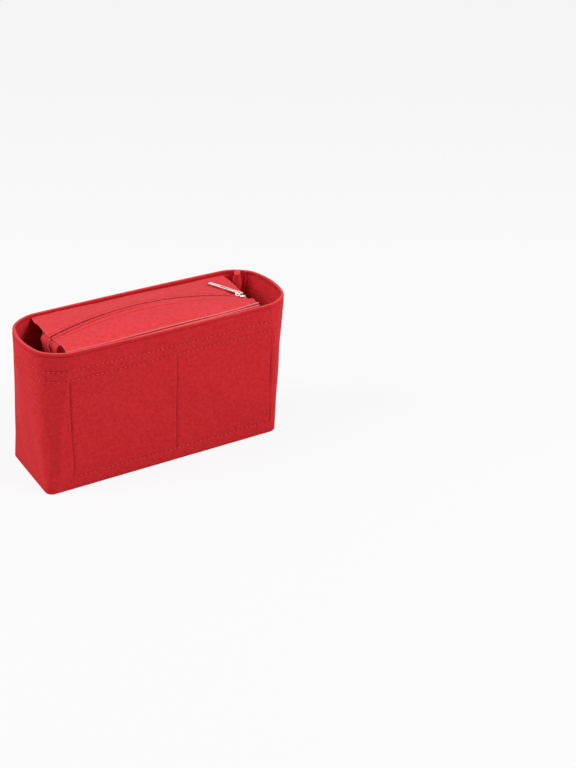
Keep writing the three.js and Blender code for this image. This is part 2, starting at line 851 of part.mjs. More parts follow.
// Stops: one across both coils at the left, one on each coil at the right
function zipStop(distance, nearHalf, farHalf) {
  const grid = (above) => [distance - stopLength / 2, distance + stopLength / 2].map((place) => {
    const frame = zipFrame(place);
    return [inFrame(frame, 0, nearHalf, above), inFrame(frame, 0, farHalf, above)];
  });
  const under = coilTop + layerGap;
  return slab(grid(under), grid(under + stopHeight));
}
const coilOuterHalf = coilInnerHalf + coilWidth;
const topStopDistance = zipLength - stopEndInset - stopLength / 2;
add(pouch, 'zip_bottom_stop', zipStop(bottomStopInset, -coilOuterHalf, coilOuterHalf), nickel);
add(pouch, 'zip_top_stop_front', zipStop(topStopDistance, -coilOuterHalf, -coilInnerHalf), nickel);
add(pouch, 'zip_top_stop_back', zipStop(topStopDistance, coilInnerHalf, coilOuterHalf), nickel);

// Pouch shell: one strip of felt down the back, under the base and up the front

const panelSink = pouchFelt + layerGap;

// The profile of the shell at an inset from its outer face, from the front seam to the back seam
function shellProfile(inset, share) {
  const radius = pouchFootRadius - inset;
  const foot = pouchFoot + inset;
  const frontFoot = pouchFrontFoot + inset;
  const back = pouchBack - inset;
  const topSink = pouchFelt + shellTopGap;
  const frontTop = seamPoint(frontSide, share).z - topSink;
  const points = [[pouchFrontTop + inset, frontTop], [pouchFrontMiddle + inset, pocketTop]];
  for (let step = 0; step <= roundSteps; step += 1) {
    const angle = quarterTurn * step / roundSteps;
    points.push([
      frontFoot + radius * (1 - Math.cos(angle)),
      foot + radius * (1 - Math.sin(angle)),
    ]);
  }
  for (let step = 0; step <= roundSteps; step += 1) {
    const angle = quarterTurn * step / roundSteps;
    points.push([back - radius * (1 - Math.sin(angle)), foot + radius * (1 - Math.cos(angle))]);
  }
  points.push([back, pocketTop], [back, backSeamHeight - topSink]);
  return points;
}

// The ends of the pouch in plan: square on the left, and longer at the back on the right
const leftEnd = () => pouchLeft + panelEndOverhang;
const rightEnd = (y) => mix(
  pouchRightFront, pouchRightBack, (y - pouchFrontTop) / (pouchBack - pouchFrontTop),
) - panelEndOverhang;

function shellRows(inset) {
  return [
    shellProfile(inset, 0).map(([y, z]) => new THREE.Vector3(leftEnd(), y, z)),
    shellProfile(inset, 1).map(([y, z]) => new THREE.Vector3(rightEnd(y), y, z)),
  ];
}
add(pouch, 'pouch_shell', slab(shellRows(0), shellRows(pouchFelt)), feltPouch);

// End gussets: flat plates inside the ends of the shell, cut away under the zip

const gussetInset = pouchFelt + layerGap;
const tapeClear = -tapeUnder + 2 * layerGap;
const underClear = tapeClear + sliderUnderPlate + 2 * layerGap;
const tapeEdgeDistance = tapeHalfWidth - zipChannelHalf + 3 * layerGap;
const underHalfClear = sliderUnderHalf + 2 * layerGap;

// A plate between two faces that have the same outline
function plate(outline, near, far) {
  const flat = outline.map(([y, z]) => new THREE.Vector2(y, z));
  const faces = THREE.ShapeUtils.triangulateShape(flat, []);
  const positions = [near, far].flatMap((place) => outline.flatMap(([y, z]) => place(y, z).toArray()));
  const count = outline.length;
  const triangles = [];
  for (const [a, b, c] of faces) {
    triangles.push(a, b, c, count + c, count + b, count + a);
  }
  for (let i = 0; i < count; i += 1) {
    const next = (i + 1) % count;
    triangles.push(next, i, count + i, next, count + i, count + next);
  }
  return closedBody(positions, triangles);
}

function gussetOutline(share) {
  const frame = zipFrame(zipLength * share);
  const half = (side) => {
    const sunk = panelSection(side, share, panelSink);
    return [
      sunk[4],
      sunk[3],
      onPanel(side, share, tapeEdgeDistance, panelSink),
      onPanel(side, share, tapeEdgeDistance, tapeClear),
      inFrame(frame, 0, side * underHalfClear, -tapeClear),
      inFrame(frame, 0, side * underHalfClear, -underClear),
    ].map((point) => [point.y, point.z]);
  };
  return [...shellProfile(gussetInset, share), ...half(backSide), ...half(frontSide).reverse()];
}

// A row of stitches on the outer face of a gusset, down one side, along its foot and up the other
function gussetRow(share, end, outward) {
  const path = (inset) => {
    const profile = shellProfile(gussetInset + inset, share);
    const last = profile.length - 1;
    return profile.map(([y, z], i) => [y, i === 0 || i === last ? z - gussetStitchInset : z]);
  };
  const rows = (lift) => [gussetStitchInset, gussetStitchInset + threadWidth].map(
    (inset) => path(inset).map(([y, z]) => new THREE.Vector3(end(y) + outward * lift, y, z)),
  );
  return slab(rows(layerGap), rows(layerGap + threadThickness));
}

for (const [name, share, end, outward] of [['left', 0, leftEnd, -1], ['right', 1, rightEnd, 1]]) {
  add(pouch, `pouch_${name}_gusset`, plate(
    gussetOutline(share),
    (y, z) => new THREE.Vector3(end(y), y, z),
    (y, z) => new THREE.Vector3(end(y) - outward * pouchFelt, y, z),
  ), feltPouch);
  add(pouch, `pouch_${name}_gusset_stitch`, gussetRow(share, end, outward), thread);
}

// Rows under the lips that join the top panels to the shell
function edgeRow(side, end) {
  const rows = (lift) => [0, 1].map((share) => [panelSink + threadWidth, panelSink].map((sink) => {
    const seam = seamPoint(side, share).addScaledVector(up, -sink);
    const inward = share === 0 ? leftEnd() : end;
    return new THREE.Vector3(inward, seam.y + side * lift, seam.z);
  }));
  return slab(rows(layerGap), rows(layerGap + threadThickness));
}
add(pouch, 'pouch_front_edge_stitch', edgeRow(frontSide, rightEnd(pouchFrontTop)), thread);
add(pouch, 'pouch_back_edge_stitch', edgeRow(backSide, rightEnd(pouchBack)), thread);

// Slider, in its own frame: x towards its nose, y across the zip and z up from the panels

function placeInZip(group, frame) {
  const basis = new THREE.Matrix4().makeBasis(frame.along, frame.across, frame.above);
  group.quaternion.setFromRotationMatrix(basis);
  group.position.copy(frame.point);
}

function extruded(shape, depth, curveSegments = roundFacets) {
  return new THREE.ExtrudeGeometry(shape, { depth, bevelEnabled: false, curveSegments });
}

const slider = new THREE.Group();
placeInZip(slider, zipFrame(zipLength - sliderEndGap - sliderLength / 2));
pouch.add(slider);

function sliderOutline(noseHalf, tailHalf, halfLength) {
  const shape = new THREE.Shape();
  const shoulder = halfLength - noseHalf;
  shape.moveTo(-halfLength, -tailHalf);
  shape.lineTo(shoulder, -noseHalf);
  shape.quadraticCurveTo(halfLength, -noseHalf, halfLength, 0);
  shape.quadraticCurveTo(halfLength, noseHalf, shoulder, noseHalf);
  shape.lineTo(-halfLength, tailHalf);
  shape.closePath();
  return shape;
}

const plateTop = sliderLift + sliderPlate;
const linkHeight = knuckleOuterRadius + knuckleGap;
const bridgeWindowHeight = linkHeight + linkThickness / 2 + knuckleGap;
const noseFacets = 5;

function sliderBody() {
  const halfLength = sliderLength / 2;
  const top = extruded(sliderOutline(sliderNoseHalf, sliderTailHalf, halfLength), sliderPlate, noseFacets);
  top.translate(0, 0, sliderLift);
  const underShare = sliderUnderHalf / sliderNoseHalf;
  const under = extruded(
    sliderOutline(sliderUnderHalf, sliderTailHalf * underShare, halfLength - sliderPostSink),
    sliderUnderPlate,
    noseFacets,
  );
  const underTop = tapeUnder - layerGap;
  under.translate(0, 0, underTop - sliderUnderPlate);
  const postHeight = sliderLift - underTop + 2 * sliderPostSink;
  const post = new THREE.BoxGeometry(sliderPostLength, 2 * sliderPostHalf, postHeight);
  const postPlace = halfLength - sliderPlate - sliderPostLength / 2;
  post.translate(postPlace, 0, underTop - sliderPostSink + postHeight / 2);
  const arch = new THREE.Shape();
  const footing = -sliderPostSink;
  const archHalf = bridgeWindowHalf + bridgeLeg;
  const archTop = bridgeWindowHeight + bridgeTop;
  const archRound = bridgeTop - sliderPostSink;
  arch.moveTo(-archHalf, footing);
  arch.lineTo(-bridgeWindowHalf, footing);
  arch.lineTo(-bridgeWindowHalf, bridgeWindowHeight);
  arch.lineTo(bridgeWindowHalf, bridgeWindowHeight);
  arch.lineTo(bridgeWindowHalf, footing);
  arch.lineTo(archHalf, footing);
  arch.lineTo(archHalf, archTop - archRound);
  arch.quadraticCurveTo(archHalf, archTop, archHalf - archRound, archTop);
  arch.lineTo(archRound - archHalf, archTop);
  arch.quadraticCurveTo(-archHalf, archTop, -archHalf, archTop - archRound);
  arch.closePath();
  const bridge = extruded(arch, 2 * bridgeHalfWidth, noseFacets);
  bridge.rotateX(quarterTurn);
  bridge.translate(0, bridgeHalfWidth, plateTop);
  return fromSolid(toSolid(top).add(toSolid(post)).add(toSolid(under)).add(toSolid(bridge)));
}
add(slider, 'zip_slider', sliderBody(), nickel);

// Pull link: a flat ring whose near bar lies inside the slider's bridge

const link = new THREE.Group();
link.position.z = plateTop + linkHeight;
link.rotation.z = Math.PI - pullAngle;
slider.add(link);

function roundedOutline(target, left, right, half, radius) {
  target.moveTo(left + radius, -half);
  target.lineTo(right - radius, -half);
  target.absarc(right - radius, radius - half, radius, -quarterTurn, 0);
  target.absarc(right - radius, half - radius, radius, 0, quarterTurn);
  target.absarc(left + radius, half - radius, radius, quarterTurn, 2 * quarterTurn);
  target.absarc(left + radius, radius - half, radius, 2 * quarterTurn, -quarterTurn);
  return target;
}

function linkBody() {
  const ring = roundedOutline(
    new THREE.Shape(), -linkBar / 2, linkReach + linkBar / 2, linkHoleHalf + linkSideBar, linkCornerRadius,
  );
  const hole = new THREE.Path();
  hole.moveTo(linkBar / 2, -linkHoleHalf);
  hole.lineTo(linkBar / 2, linkHoleHalf);
  hole.lineTo(linkReach - linkBar / 2, linkHoleHalf);
  hole.lineTo(linkReach - linkBar / 2, -linkHoleHalf);
  hole.closePath();
  ring.holes.push(hole);
  const body = extruded(ring, linkThickness, noseFacets);
  body.translate(0, 0, -linkThickness / 2);
  return body;
}
add(link, 'pull_link', linkBody(), nickel);

// Pull tab: a slotted plate with a rolled knuckle round the far bar of the link

const tab = new THREE.Group();
tab.position.x = linkReach;
tab.rotation.y = tabDroop;
link.add(tab);

function tabBody() {
  const face = roundedOutline(new THREE.Shape(), tabShoulder, tabLength, tabHalfWidth, tabCornerRadius);
  const slotEnd = tabSlotStart + tabSlotLength;
  face.holes.push(roundedOutline(
    new THREE.Path(), tabSlotStart, slotEnd, tabSlotHalfWidth, tabSlotHalfWidth,
  ));
  const eyelet = new THREE.Path();
  eyelet.absarc(tabLength - tabHoleInset, 0, tabHoleRadius, 0, 2 * Math.PI);
  face.holes.push(eyelet);
  const blade = extruded(face, tabThickness, noseFacets);
  blade.translate(0, 0, -tabThickness / 2);
  const neckHalf = linkHoleHalf - tabNeckGap;
  const neckStart = mix(knuckleInnerRadius, knuckleOuterRadius, halfShare);
  const neckLength = tabShoulder + tabCornerRadius - neckStart;
  const neck = new THREE.BoxGeometry(neckLength, 2 * neckHalf, tabThickness);
  neck.translate(neckStart + neckLength / 2, 0, 0);
  const curl = new THREE.Shape();
  curl.absarc(0, 0, knuckleOuterRadius, 0, 2 * Math.PI);
  const bore = new THREE.Path();
  bore.absarc(0, 0, knuckleInnerRadius, 0, 2 * Math.PI);
  curl.holes.push(bore);
  const knuckle = extruded(curl, 2 * neckHalf);
  knuckle.rotateX(quarterTurn);
  knuckle.translate(0, neckHalf, 0);
  return fromSolid(toSolid(blade).add(toSolid(neck)).add(toSolid(knuckle)));
}
add(tab, 'pull_tab', tabBody(), nickel);

export default insert;
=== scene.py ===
"""A purse organizer insert: a felt bin with inner pockets and a zipped pouch that lifts out.

Metres. X runs along the bin to the right, -Y is its front and +Z is up.
"""

from __future__ import annotations

import logging
import math
from dataclasses import dataclass, field
from enum import Enum
from functools import cache

import bpy
import numpy as np
from bpy.types import Material, Node, NodeSocket, NodeTree, Object
from mathutils import Matrix, Vector


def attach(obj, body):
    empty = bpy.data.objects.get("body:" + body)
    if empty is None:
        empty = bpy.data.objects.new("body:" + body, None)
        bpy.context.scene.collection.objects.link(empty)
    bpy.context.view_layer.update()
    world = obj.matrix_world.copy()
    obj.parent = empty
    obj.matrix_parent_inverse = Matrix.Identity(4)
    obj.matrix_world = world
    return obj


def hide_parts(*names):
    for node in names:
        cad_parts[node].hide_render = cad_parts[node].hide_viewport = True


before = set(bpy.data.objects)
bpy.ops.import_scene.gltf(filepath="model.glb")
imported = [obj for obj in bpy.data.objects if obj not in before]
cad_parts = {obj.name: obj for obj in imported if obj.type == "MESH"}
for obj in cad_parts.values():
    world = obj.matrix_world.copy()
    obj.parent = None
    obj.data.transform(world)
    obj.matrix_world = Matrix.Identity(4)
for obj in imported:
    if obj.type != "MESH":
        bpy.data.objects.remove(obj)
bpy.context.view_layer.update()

log = logging.getLogger("insert")

Points = np.ndarray
Colour = tuple[float, float, float]
Place = tuple[float, float, float]
Pair = tuple[float, float]

LAP = 8
LAP_STEPS = 4001
ROW_POINTS = 900
PROBE = 0.01
BISECTIONS = 40
WIDEST_TURN = 2.0
KEPT_APART = 0.9
HALF = 0.5
MILLIMETRES = 1000
WHITE = (1.0, 1.0, 1.0, 1.0)
UP = np.array([0.0, 0.0, 1.0])


class Side(Enum):
    """Front or back of the bin and of the pouch, as the sign of Y."""

    FRONT = -1
    BACK = 1

    @property
    def word(self) -> str:
        """The side's word in the names of pieces."""
        return self.name.lower()


# Places round the bin where its front and its back begin at the right and end at the left
SIDE_ENDS = {Side.FRONT: (7.0, 4.0), Side.BACK: (0.0, 3.0)}


class Held(Enum):
    """How a sheet of felt or tape is held."""

    FOLDED = "folded"
    GATHERED = "gathered"
    STRETCHED = "stretched"


class Slot(Enum):
    """The record's material slots."""

    WALL = "felt_wall"
    FACING = "felt_facing"
    POCKET = "felt_pocket"
    POUCH = "felt_pouch"
    THREAD = "thread"
    TAPE = "zip_tape"
    COIL = "zip_coil"
    NICKEL = "nickel"


def mix(a: Points | float, b: Points | float, share: Points | float) -> Points | float:
    """The value that lies a share of the way from a to b."""
    return a + (b - a) * share


def unit(vectors: Points) -> Points:
    """The same directions at length one."""
    return vectors / np.linalg.norm(vectors, axis=-1, keepdims=True)


def stacked(*values: Points | float) -> Points:
    """Points with these coordinates."""
    return np.stack(np.broadcast_arrays(*values), axis=-1)


def bump_at(distance: Points, half_width: float) -> Points:
    """A smooth hump, one at zero distance, that fades over a half width."""
    return np.exp(-((distance / half_width) ** 2))


def fade(value: Points, start: float, end: float) -> Points:
    """Zero before start, one after end and smooth between them."""
    share = np.clip((value - start) / (end - start), 0, 1)
    return share * share * (3 - 2 * share)


def refined(start: float, end: float, pitch: float, marks: list[float], reach: float, fine: float) -> Points:
    """Stations from start to end at a pitch, closer together within reach of each mark.

    Args:
        start: First station.
        end: Last station.
        pitch: Distance between stations away from the marks.
        marks: Places that get closer stations.
        reach: How far each side of a mark the closer stations go.
        fine: Distance between stations near a mark.

    Returns:
        The stations in order.
    """
    even = np.linspace(start, end, max(2, round((end - start) / pitch) + 1))
    steps = np.arange(-round(reach / fine), round(reach / fine) + 1) * fine
    near = [mark + steps for mark in marks if start < mark < end]
    close = np.concatenate(near) if near else np.array([])
    close = close[(close > start + fine / 2) & (close < end - fine / 2)]
    apart = [x for x in even[1:-1] if not len(close) or np.abs(close - x).min() > fine * KEPT_APART]
    return np.unique(np.concatenate([[start, end], apart, close]))


class Ripple:
    """Smooth seeded unevenness, a sum of slow waves in two directions."""

    waves = 7
    longest = 3.0  # the longest wave against the shortest

    def __init__(self, seed: int, length: float, height: float) -> None:
        """Draws the waves.

        Args:
            seed: Seed of the draw.
            length: Shortest wave, in metres.
            height: Usual departure, in metres.
        """
        draw = np.random.default_rng(seed)
        angle = draw.uniform(0, math.tau, self.waves)
        pace = math.tau / (length * draw.uniform(1.0, self.longest, self.waves))
        self.pace = np.stack([np.cos(angle) * pace, np.sin(angle) * pace])
        self.phase = draw.uniform(0, math.tau, self.waves)
        self.height = height / math.sqrt(self.waves)

    def at(self, across: Points, up: Points) -> Points:
        """Height of the unevenness at each place."""
        total = np.zeros(np.broadcast(across, up).shape)
        for pace_x, pace_y, phase in zip(self.pace[0], self.pace[1], self.phase):
            total += np.sin(across * pace_x + up * pace_y + phase)
        return total * self.height


class Bench:
    """Modelling steps that more than one piece needs."""

    @staticmethod
    def clear() -> None:
        """Nothing is selected afterwards."""
        if bpy.context.object and bpy.context.object.mode != "OBJECT":
            bpy.ops.object.mode_set(mode="OBJECT")
        bpy.ops.object.select_all(action="DESELECT")

    @staticmethod
    def placed(name: str, data: bpy.types.ID) -> Object:
        """A new object with this data, in the scene."""
        piece = bpy.data.objects.new(name, data)
        bpy.context.scene.collection.objects.link(piece)
        return piece

    @staticmethod
    def ball(sides: int, rings: int) -> Object:
        """A new ball of radius one."""
        Bench.clear()
        bpy.ops.mesh.primitive_uv_sphere_add(segments=sides, ring_count=rings, radius=1)
        return bpy.context.object

    @staticmethod
    def pick(piece: Object) -> None:
        """Only this piece is selected, and it is active."""
        Bench.clear()
        piece.select_set(True)
        bpy.context.view_layer.objects.active = piece

    @staticmethod
    def modified(piece: Object, kind: str, **settings: object) -> None:
        """Adds a modifier with these settings and applies it."""
        Bench.pick(piece)
        modifier = piece.modifiers.new(kind.title(), kind)
        for name, value in settings.items():
            setattr(modifier, name, value)
        bpy.ops.object.modifier_apply(modifier=modifier.name)

    @staticmethod
    def outwards(piece: Object) -> None:
        """Turns every face outwards."""
        Bench.pick(piece)
        bpy.ops.object.mode_set(mode="EDIT")
        bpy.ops.mesh.select_all(action="SELECT")
        bpy.ops.mesh.normals_make_consistent(inside=False)
        bpy.ops.object.mode_set(mode="OBJECT")

    @staticmethod
    def smoothed(piece: Object, angle: float) -> None:
        """Shades the piece smooth, apart from edges sharper than the angle."""
        Bench.pick(piece)
        bpy.ops.object.shade_smooth_by_angle(angle=angle)

    @staticmethod
    def places(piece: Object) -> Points:
        """The piece's vertices."""
        flat = np.empty(len(piece.data.vertices) * 3)
        piece.data.vertices.foreach_get("co", flat)
        return flat.reshape(-1, 3)

    @staticmethod
    def set_places(piece: Object, places: Points) -> None:
        """Moves the piece's vertices."""
        piece.data.vertices.foreach_set("co", places.astype(np.float32).ravel())
        piece.data.update()

    @staticmethod
    def set_uv(piece: Object, corners: Points) -> None:
        """Gives each face corner its place on the cloth, in metres."""
        layers = piece.data.uv_layers
        layer = layers[0] if layers else layers.new(name="UVMap")
        layer.data.foreach_set("uv", corners.astype(np.float32).ravel())

    @staticmethod
    def corner_vertices(piece: Object) -> Points:
        """The vertex of each face corner."""
        indices = np.empty(len(piece.data.loops), np.int32)
        piece.data.loops.foreach_get("vertex_index", indices)
        return indices


class Felting:
    """Makes sheets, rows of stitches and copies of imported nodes."""

    smooth_angle = math.radians(50)
    flat_angle = math.radians(1)
    merge_distance = 0.00001
    # Cut edges: the felt's own lighter tone at a cut, with a painted highlight
    cut_highlight_attribute = "cut_edge_highlight"
    # Painted shade: a darker felt colour in the grooves that the stitch rows draw in, and in the pouch's
    # crease
    groove_shade_attribute = "pressed"
    flat_sizes: dict[str, Pair] = {}

    @staticmethod
    def sheet(
        name: str, face: Points, back: Points, edge_round: float, steps: int = 3,
        pressed: tuple[Points | float, Points | float] = (0, 0), cut_highlight_shares: tuple[float, ...] = (1, 1, 1, 1),
    ) -> Object:
        """A sheet between two grids of points with the same rows and columns.

        Args:
            name: Name of the piece.
            face: Points of the outer face, rows by columns by three.
            back: Points of the inner face.
            edge_round: How far its cut edges are rounded.
            steps: Faces across each rounded edge.
            pressed: Share of painted shade on each face at each point, in the grooves and creases.
            cut_highlight_shares: How much cut edge tone and painted highlight the first and last columns and
                rows get.

        Returns:
            The piece, closed, with lengths on the cloth as its UV.
        """
        rows, columns = face.shape[:2]
        Bench.clear()
        bpy.ops.mesh.primitive_grid_add(x_subdivisions=columns - 1, y_subdivisions=rows - 1, size=1)
        piece = bpy.context.object
        piece.name = piece.data.name = name
        Bench.modified(piece, "SOLIDIFY", thickness=1, offset=-1)
        flat = Bench.places(piece)
        column = np.rint((flat[:, 0] + HALF) * (columns - 1)).astype(int)
        row = np.rint((flat[:, 1] + HALF) * (rows - 1)).astype(int)
        layer = (flat[:, 2] < -HALF).astype(int)
        Bench.set_places(piece, np.stack([face, back])[layer, row, column])
        along = Felting.lengths(face[rows // 2])
        up = Felting.lengths(face[:, columns // 2])
        Felting.flat_sizes[name] = float(along[-1]), float(up[-1])
        corners = Bench.corner_vertices(piece)
        Bench.set_uv(piece, np.stack([along[column[corners]], up[row[corners]]], axis=1))
        ends = [column == 0, column == columns - 1, row == 0, row == rows - 1]
        # The cut edges' own lighter tone with a painted highlight
        cut = np.max([share * end for share, end in zip(cut_highlight_shares, ends)], axis=0)
        groove_shade_weight = np.stack([np.broadcast_to(values, (rows, columns)) for values in pressed])
        for attribute, values in (
            (Felting.cut_highlight_attribute, cut), (Felting.groove_shade_attribute, groove_shade_weight[layer, row, column]),
        ):
            layer_values = piece.data.attributes.new(attribute, "FLOAT", "POINT")
            layer_values.data.foreach_set("value", values.astype(np.float32))
        edges = np.empty(len(piece.data.edges) * 2, np.int32)
        piece.data.edges.foreach_get("vertices", edges)
        a, b = edges.reshape(-1, 2).T
        border = np.any([end[a] & end[b] for end in ends], axis=0) & (layer[a] == layer[b])
        weight = piece.data.attributes.new("bevel_weight_edge", "FLOAT", "EDGE")
        weight.data.foreach_set("value", border.astype(np.float32))
        Bench.outwards(piece)
        Bench.modified(
            piece, "BEVEL", width=edge_round, segments=steps, limit_method="WEIGHT", use_clamp_overlap=True
        )
        Bench.smoothed(piece, Felting.smooth_angle)
        return piece

    @staticmethod
    def lengths(line: Points) -> Points:
        """Distance along a line of points at each of them."""
        steps = np.linalg.norm(np.diff(line, axis=0), axis=1)
        return np.concatenate([[0], np.cumsum(steps)])

    @staticmethod
    def relaxed(grid: Points, times: int) -> Points:
        """The grid with each line across it eased into a smooth curve between its ends."""
        eased = grid.copy()
        for _ in range(times):
            eased[:, 1:-1] = (eased[:, :-2] + 2 * eased[:, 1:-1] + eased[:, 2:]) / 4
        return eased

    @staticmethod
    def along(line: Points, others: list[Points], stations: Points) -> list[Points]:
        """The line and what belongs to it, read at distances along the line."""
        distance = Felting.lengths(line)
        return [
            np.stack([np.interp(stations, distance, values[:, axis]) for axis in range(3)], axis=1)
            for values in [line, *others]
        ]

    @staticmethod
    def copies(name: str, model: Object, frames: Points, places: Points) -> Object:
        """One mesh of many copies of a small model.

        Args:
            name: Name of the piece.
            model: The modelled shape, which is removed.
            frames: For each copy the directions of its x, y and z, as rows.
            places: Where each copy lies.

        Returns:
            The piece.
        """
        local = Bench.places(model)
        faces = [list(face.vertices) for face in model.data.polygons]
        corners = np.empty(len(model.data.loops) * 2)
        model.data.uv_layers[0].data.foreach_get("uv", corners)
        count = len(places)
        vertices = np.einsum("vi,cij->cvj", local, frames) + places[:, None, :]
        mesh = bpy.data.meshes.new(name)
        shifted = [[i + copy * len(local) for i in face] for copy in range(count) for face in faces]
        mesh.from_pydata(vertices.reshape(-1, 3).tolist(), [], shifted)
        piece = Bench.placed(name, mesh)
        mesh.uv_layers.new(name="UVMap")
        Bench.set_uv(piece, np.tile(corners.reshape(-1, 2), (count, 1)))
        mesh.polygons.foreach_set("use_smooth", [True] * len(mesh.polygons))
        bpy.data.objects.remove(model)
        return piece

    @staticmethod
    def of_node(node: str, name: str, edge_round: float, steps: int, sharp: float) -> Object:
        """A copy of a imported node, merged, with its sharp edges rounded.

        Args:
            node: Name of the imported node.
            name: Name of the piece.
            edge_round: How far the edges are rounded.
            steps: Faces across each rounded edge.
            sharp: Edges that turn more than this are rounded, in radians.

        Returns:
            The piece.
        """
        piece = Bench.placed(name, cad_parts[node].data.copy())
        piece.data.materials.clear()
        Bench.pick(piece)
        bpy.ops.object.mode_set(mode="EDIT")
        bpy.ops.mesh.select_all(action="SELECT")
        bpy.ops.mesh.remove_doubles(threshold=Felting.merge_distance)
        bpy.ops.mesh.dissolve_limited(angle_limit=Felting.flat_angle)
        bpy.ops.object.mode_set(mode="OBJECT")
        Bench.modified(
            piece, "BEVEL", width=edge_round, segments=steps, limit_method="ANGLE", angle_limit=sharp,
            use_clamp_overlap=True,
        )
        Bench.smoothed(piece, Felting.smooth_angle)
        return piece


@dataclass(frozen=True)
class Stitching:
    """A lockstitch row: the thread's visible lengths and the holes between them."""

    pitch: float = 0.0047
    length: float = 0.003
    width: float = 0.0008
    height: float = 0.0006
    sink: float = 0.0003
    sides: int = 6

    def model(self) -> Object:
        """One stitch, its ends drawn down into the felt."""
        stitch = Bench.ball(self.sides, self.sides)
        places = Bench.places(stitch)[:, [2, 0, 1]]
        half = np.array([self.length, self.width, self.height]) / 2
        shaped = places * half
        shaped[:, 2] -= self.sink * places[:, 0] ** 2
        Bench.set_places(stitch, shaped)
        return stitch

    def row(self, name: str, lines: list[tuple[Points, Points]]) -> Object:
        """Stitches along one line or several.

        Args:
            name: Name of the piece.
            lines: For each line its points and, at each, the direction out of the felt.

        Returns:
            The piece.
        """
        frames, places = [], []
        for line, outward in lines:
            total = Felting.lengths(line)[-1]
            count = max(1, int(total / self.pitch))
            stations = (np.arange(count) + HALF) * total / count
            middle, out = Felting.along(line, [outward], stations)
            before = Felting.along(line, [], stations - self.length / 2)[0]
            after = Felting.along(line, [], stations + self.length / 2)[0]
            run = unit(after - before)
            side = unit(np.cross(out, run))
            frames.append(np.stack([run, side, np.cross(run, side)], axis=1))
            places.append(middle)
        return Felting.copies(name, self.model(), np.concatenate(frames), np.concatenate(places))


PLAIN = Stitching()
LONG = Stitching(length=0.0034)
FINE = Stitching(pitch=0.0031, length=0.0023, width=0.00062, height=0.00052)


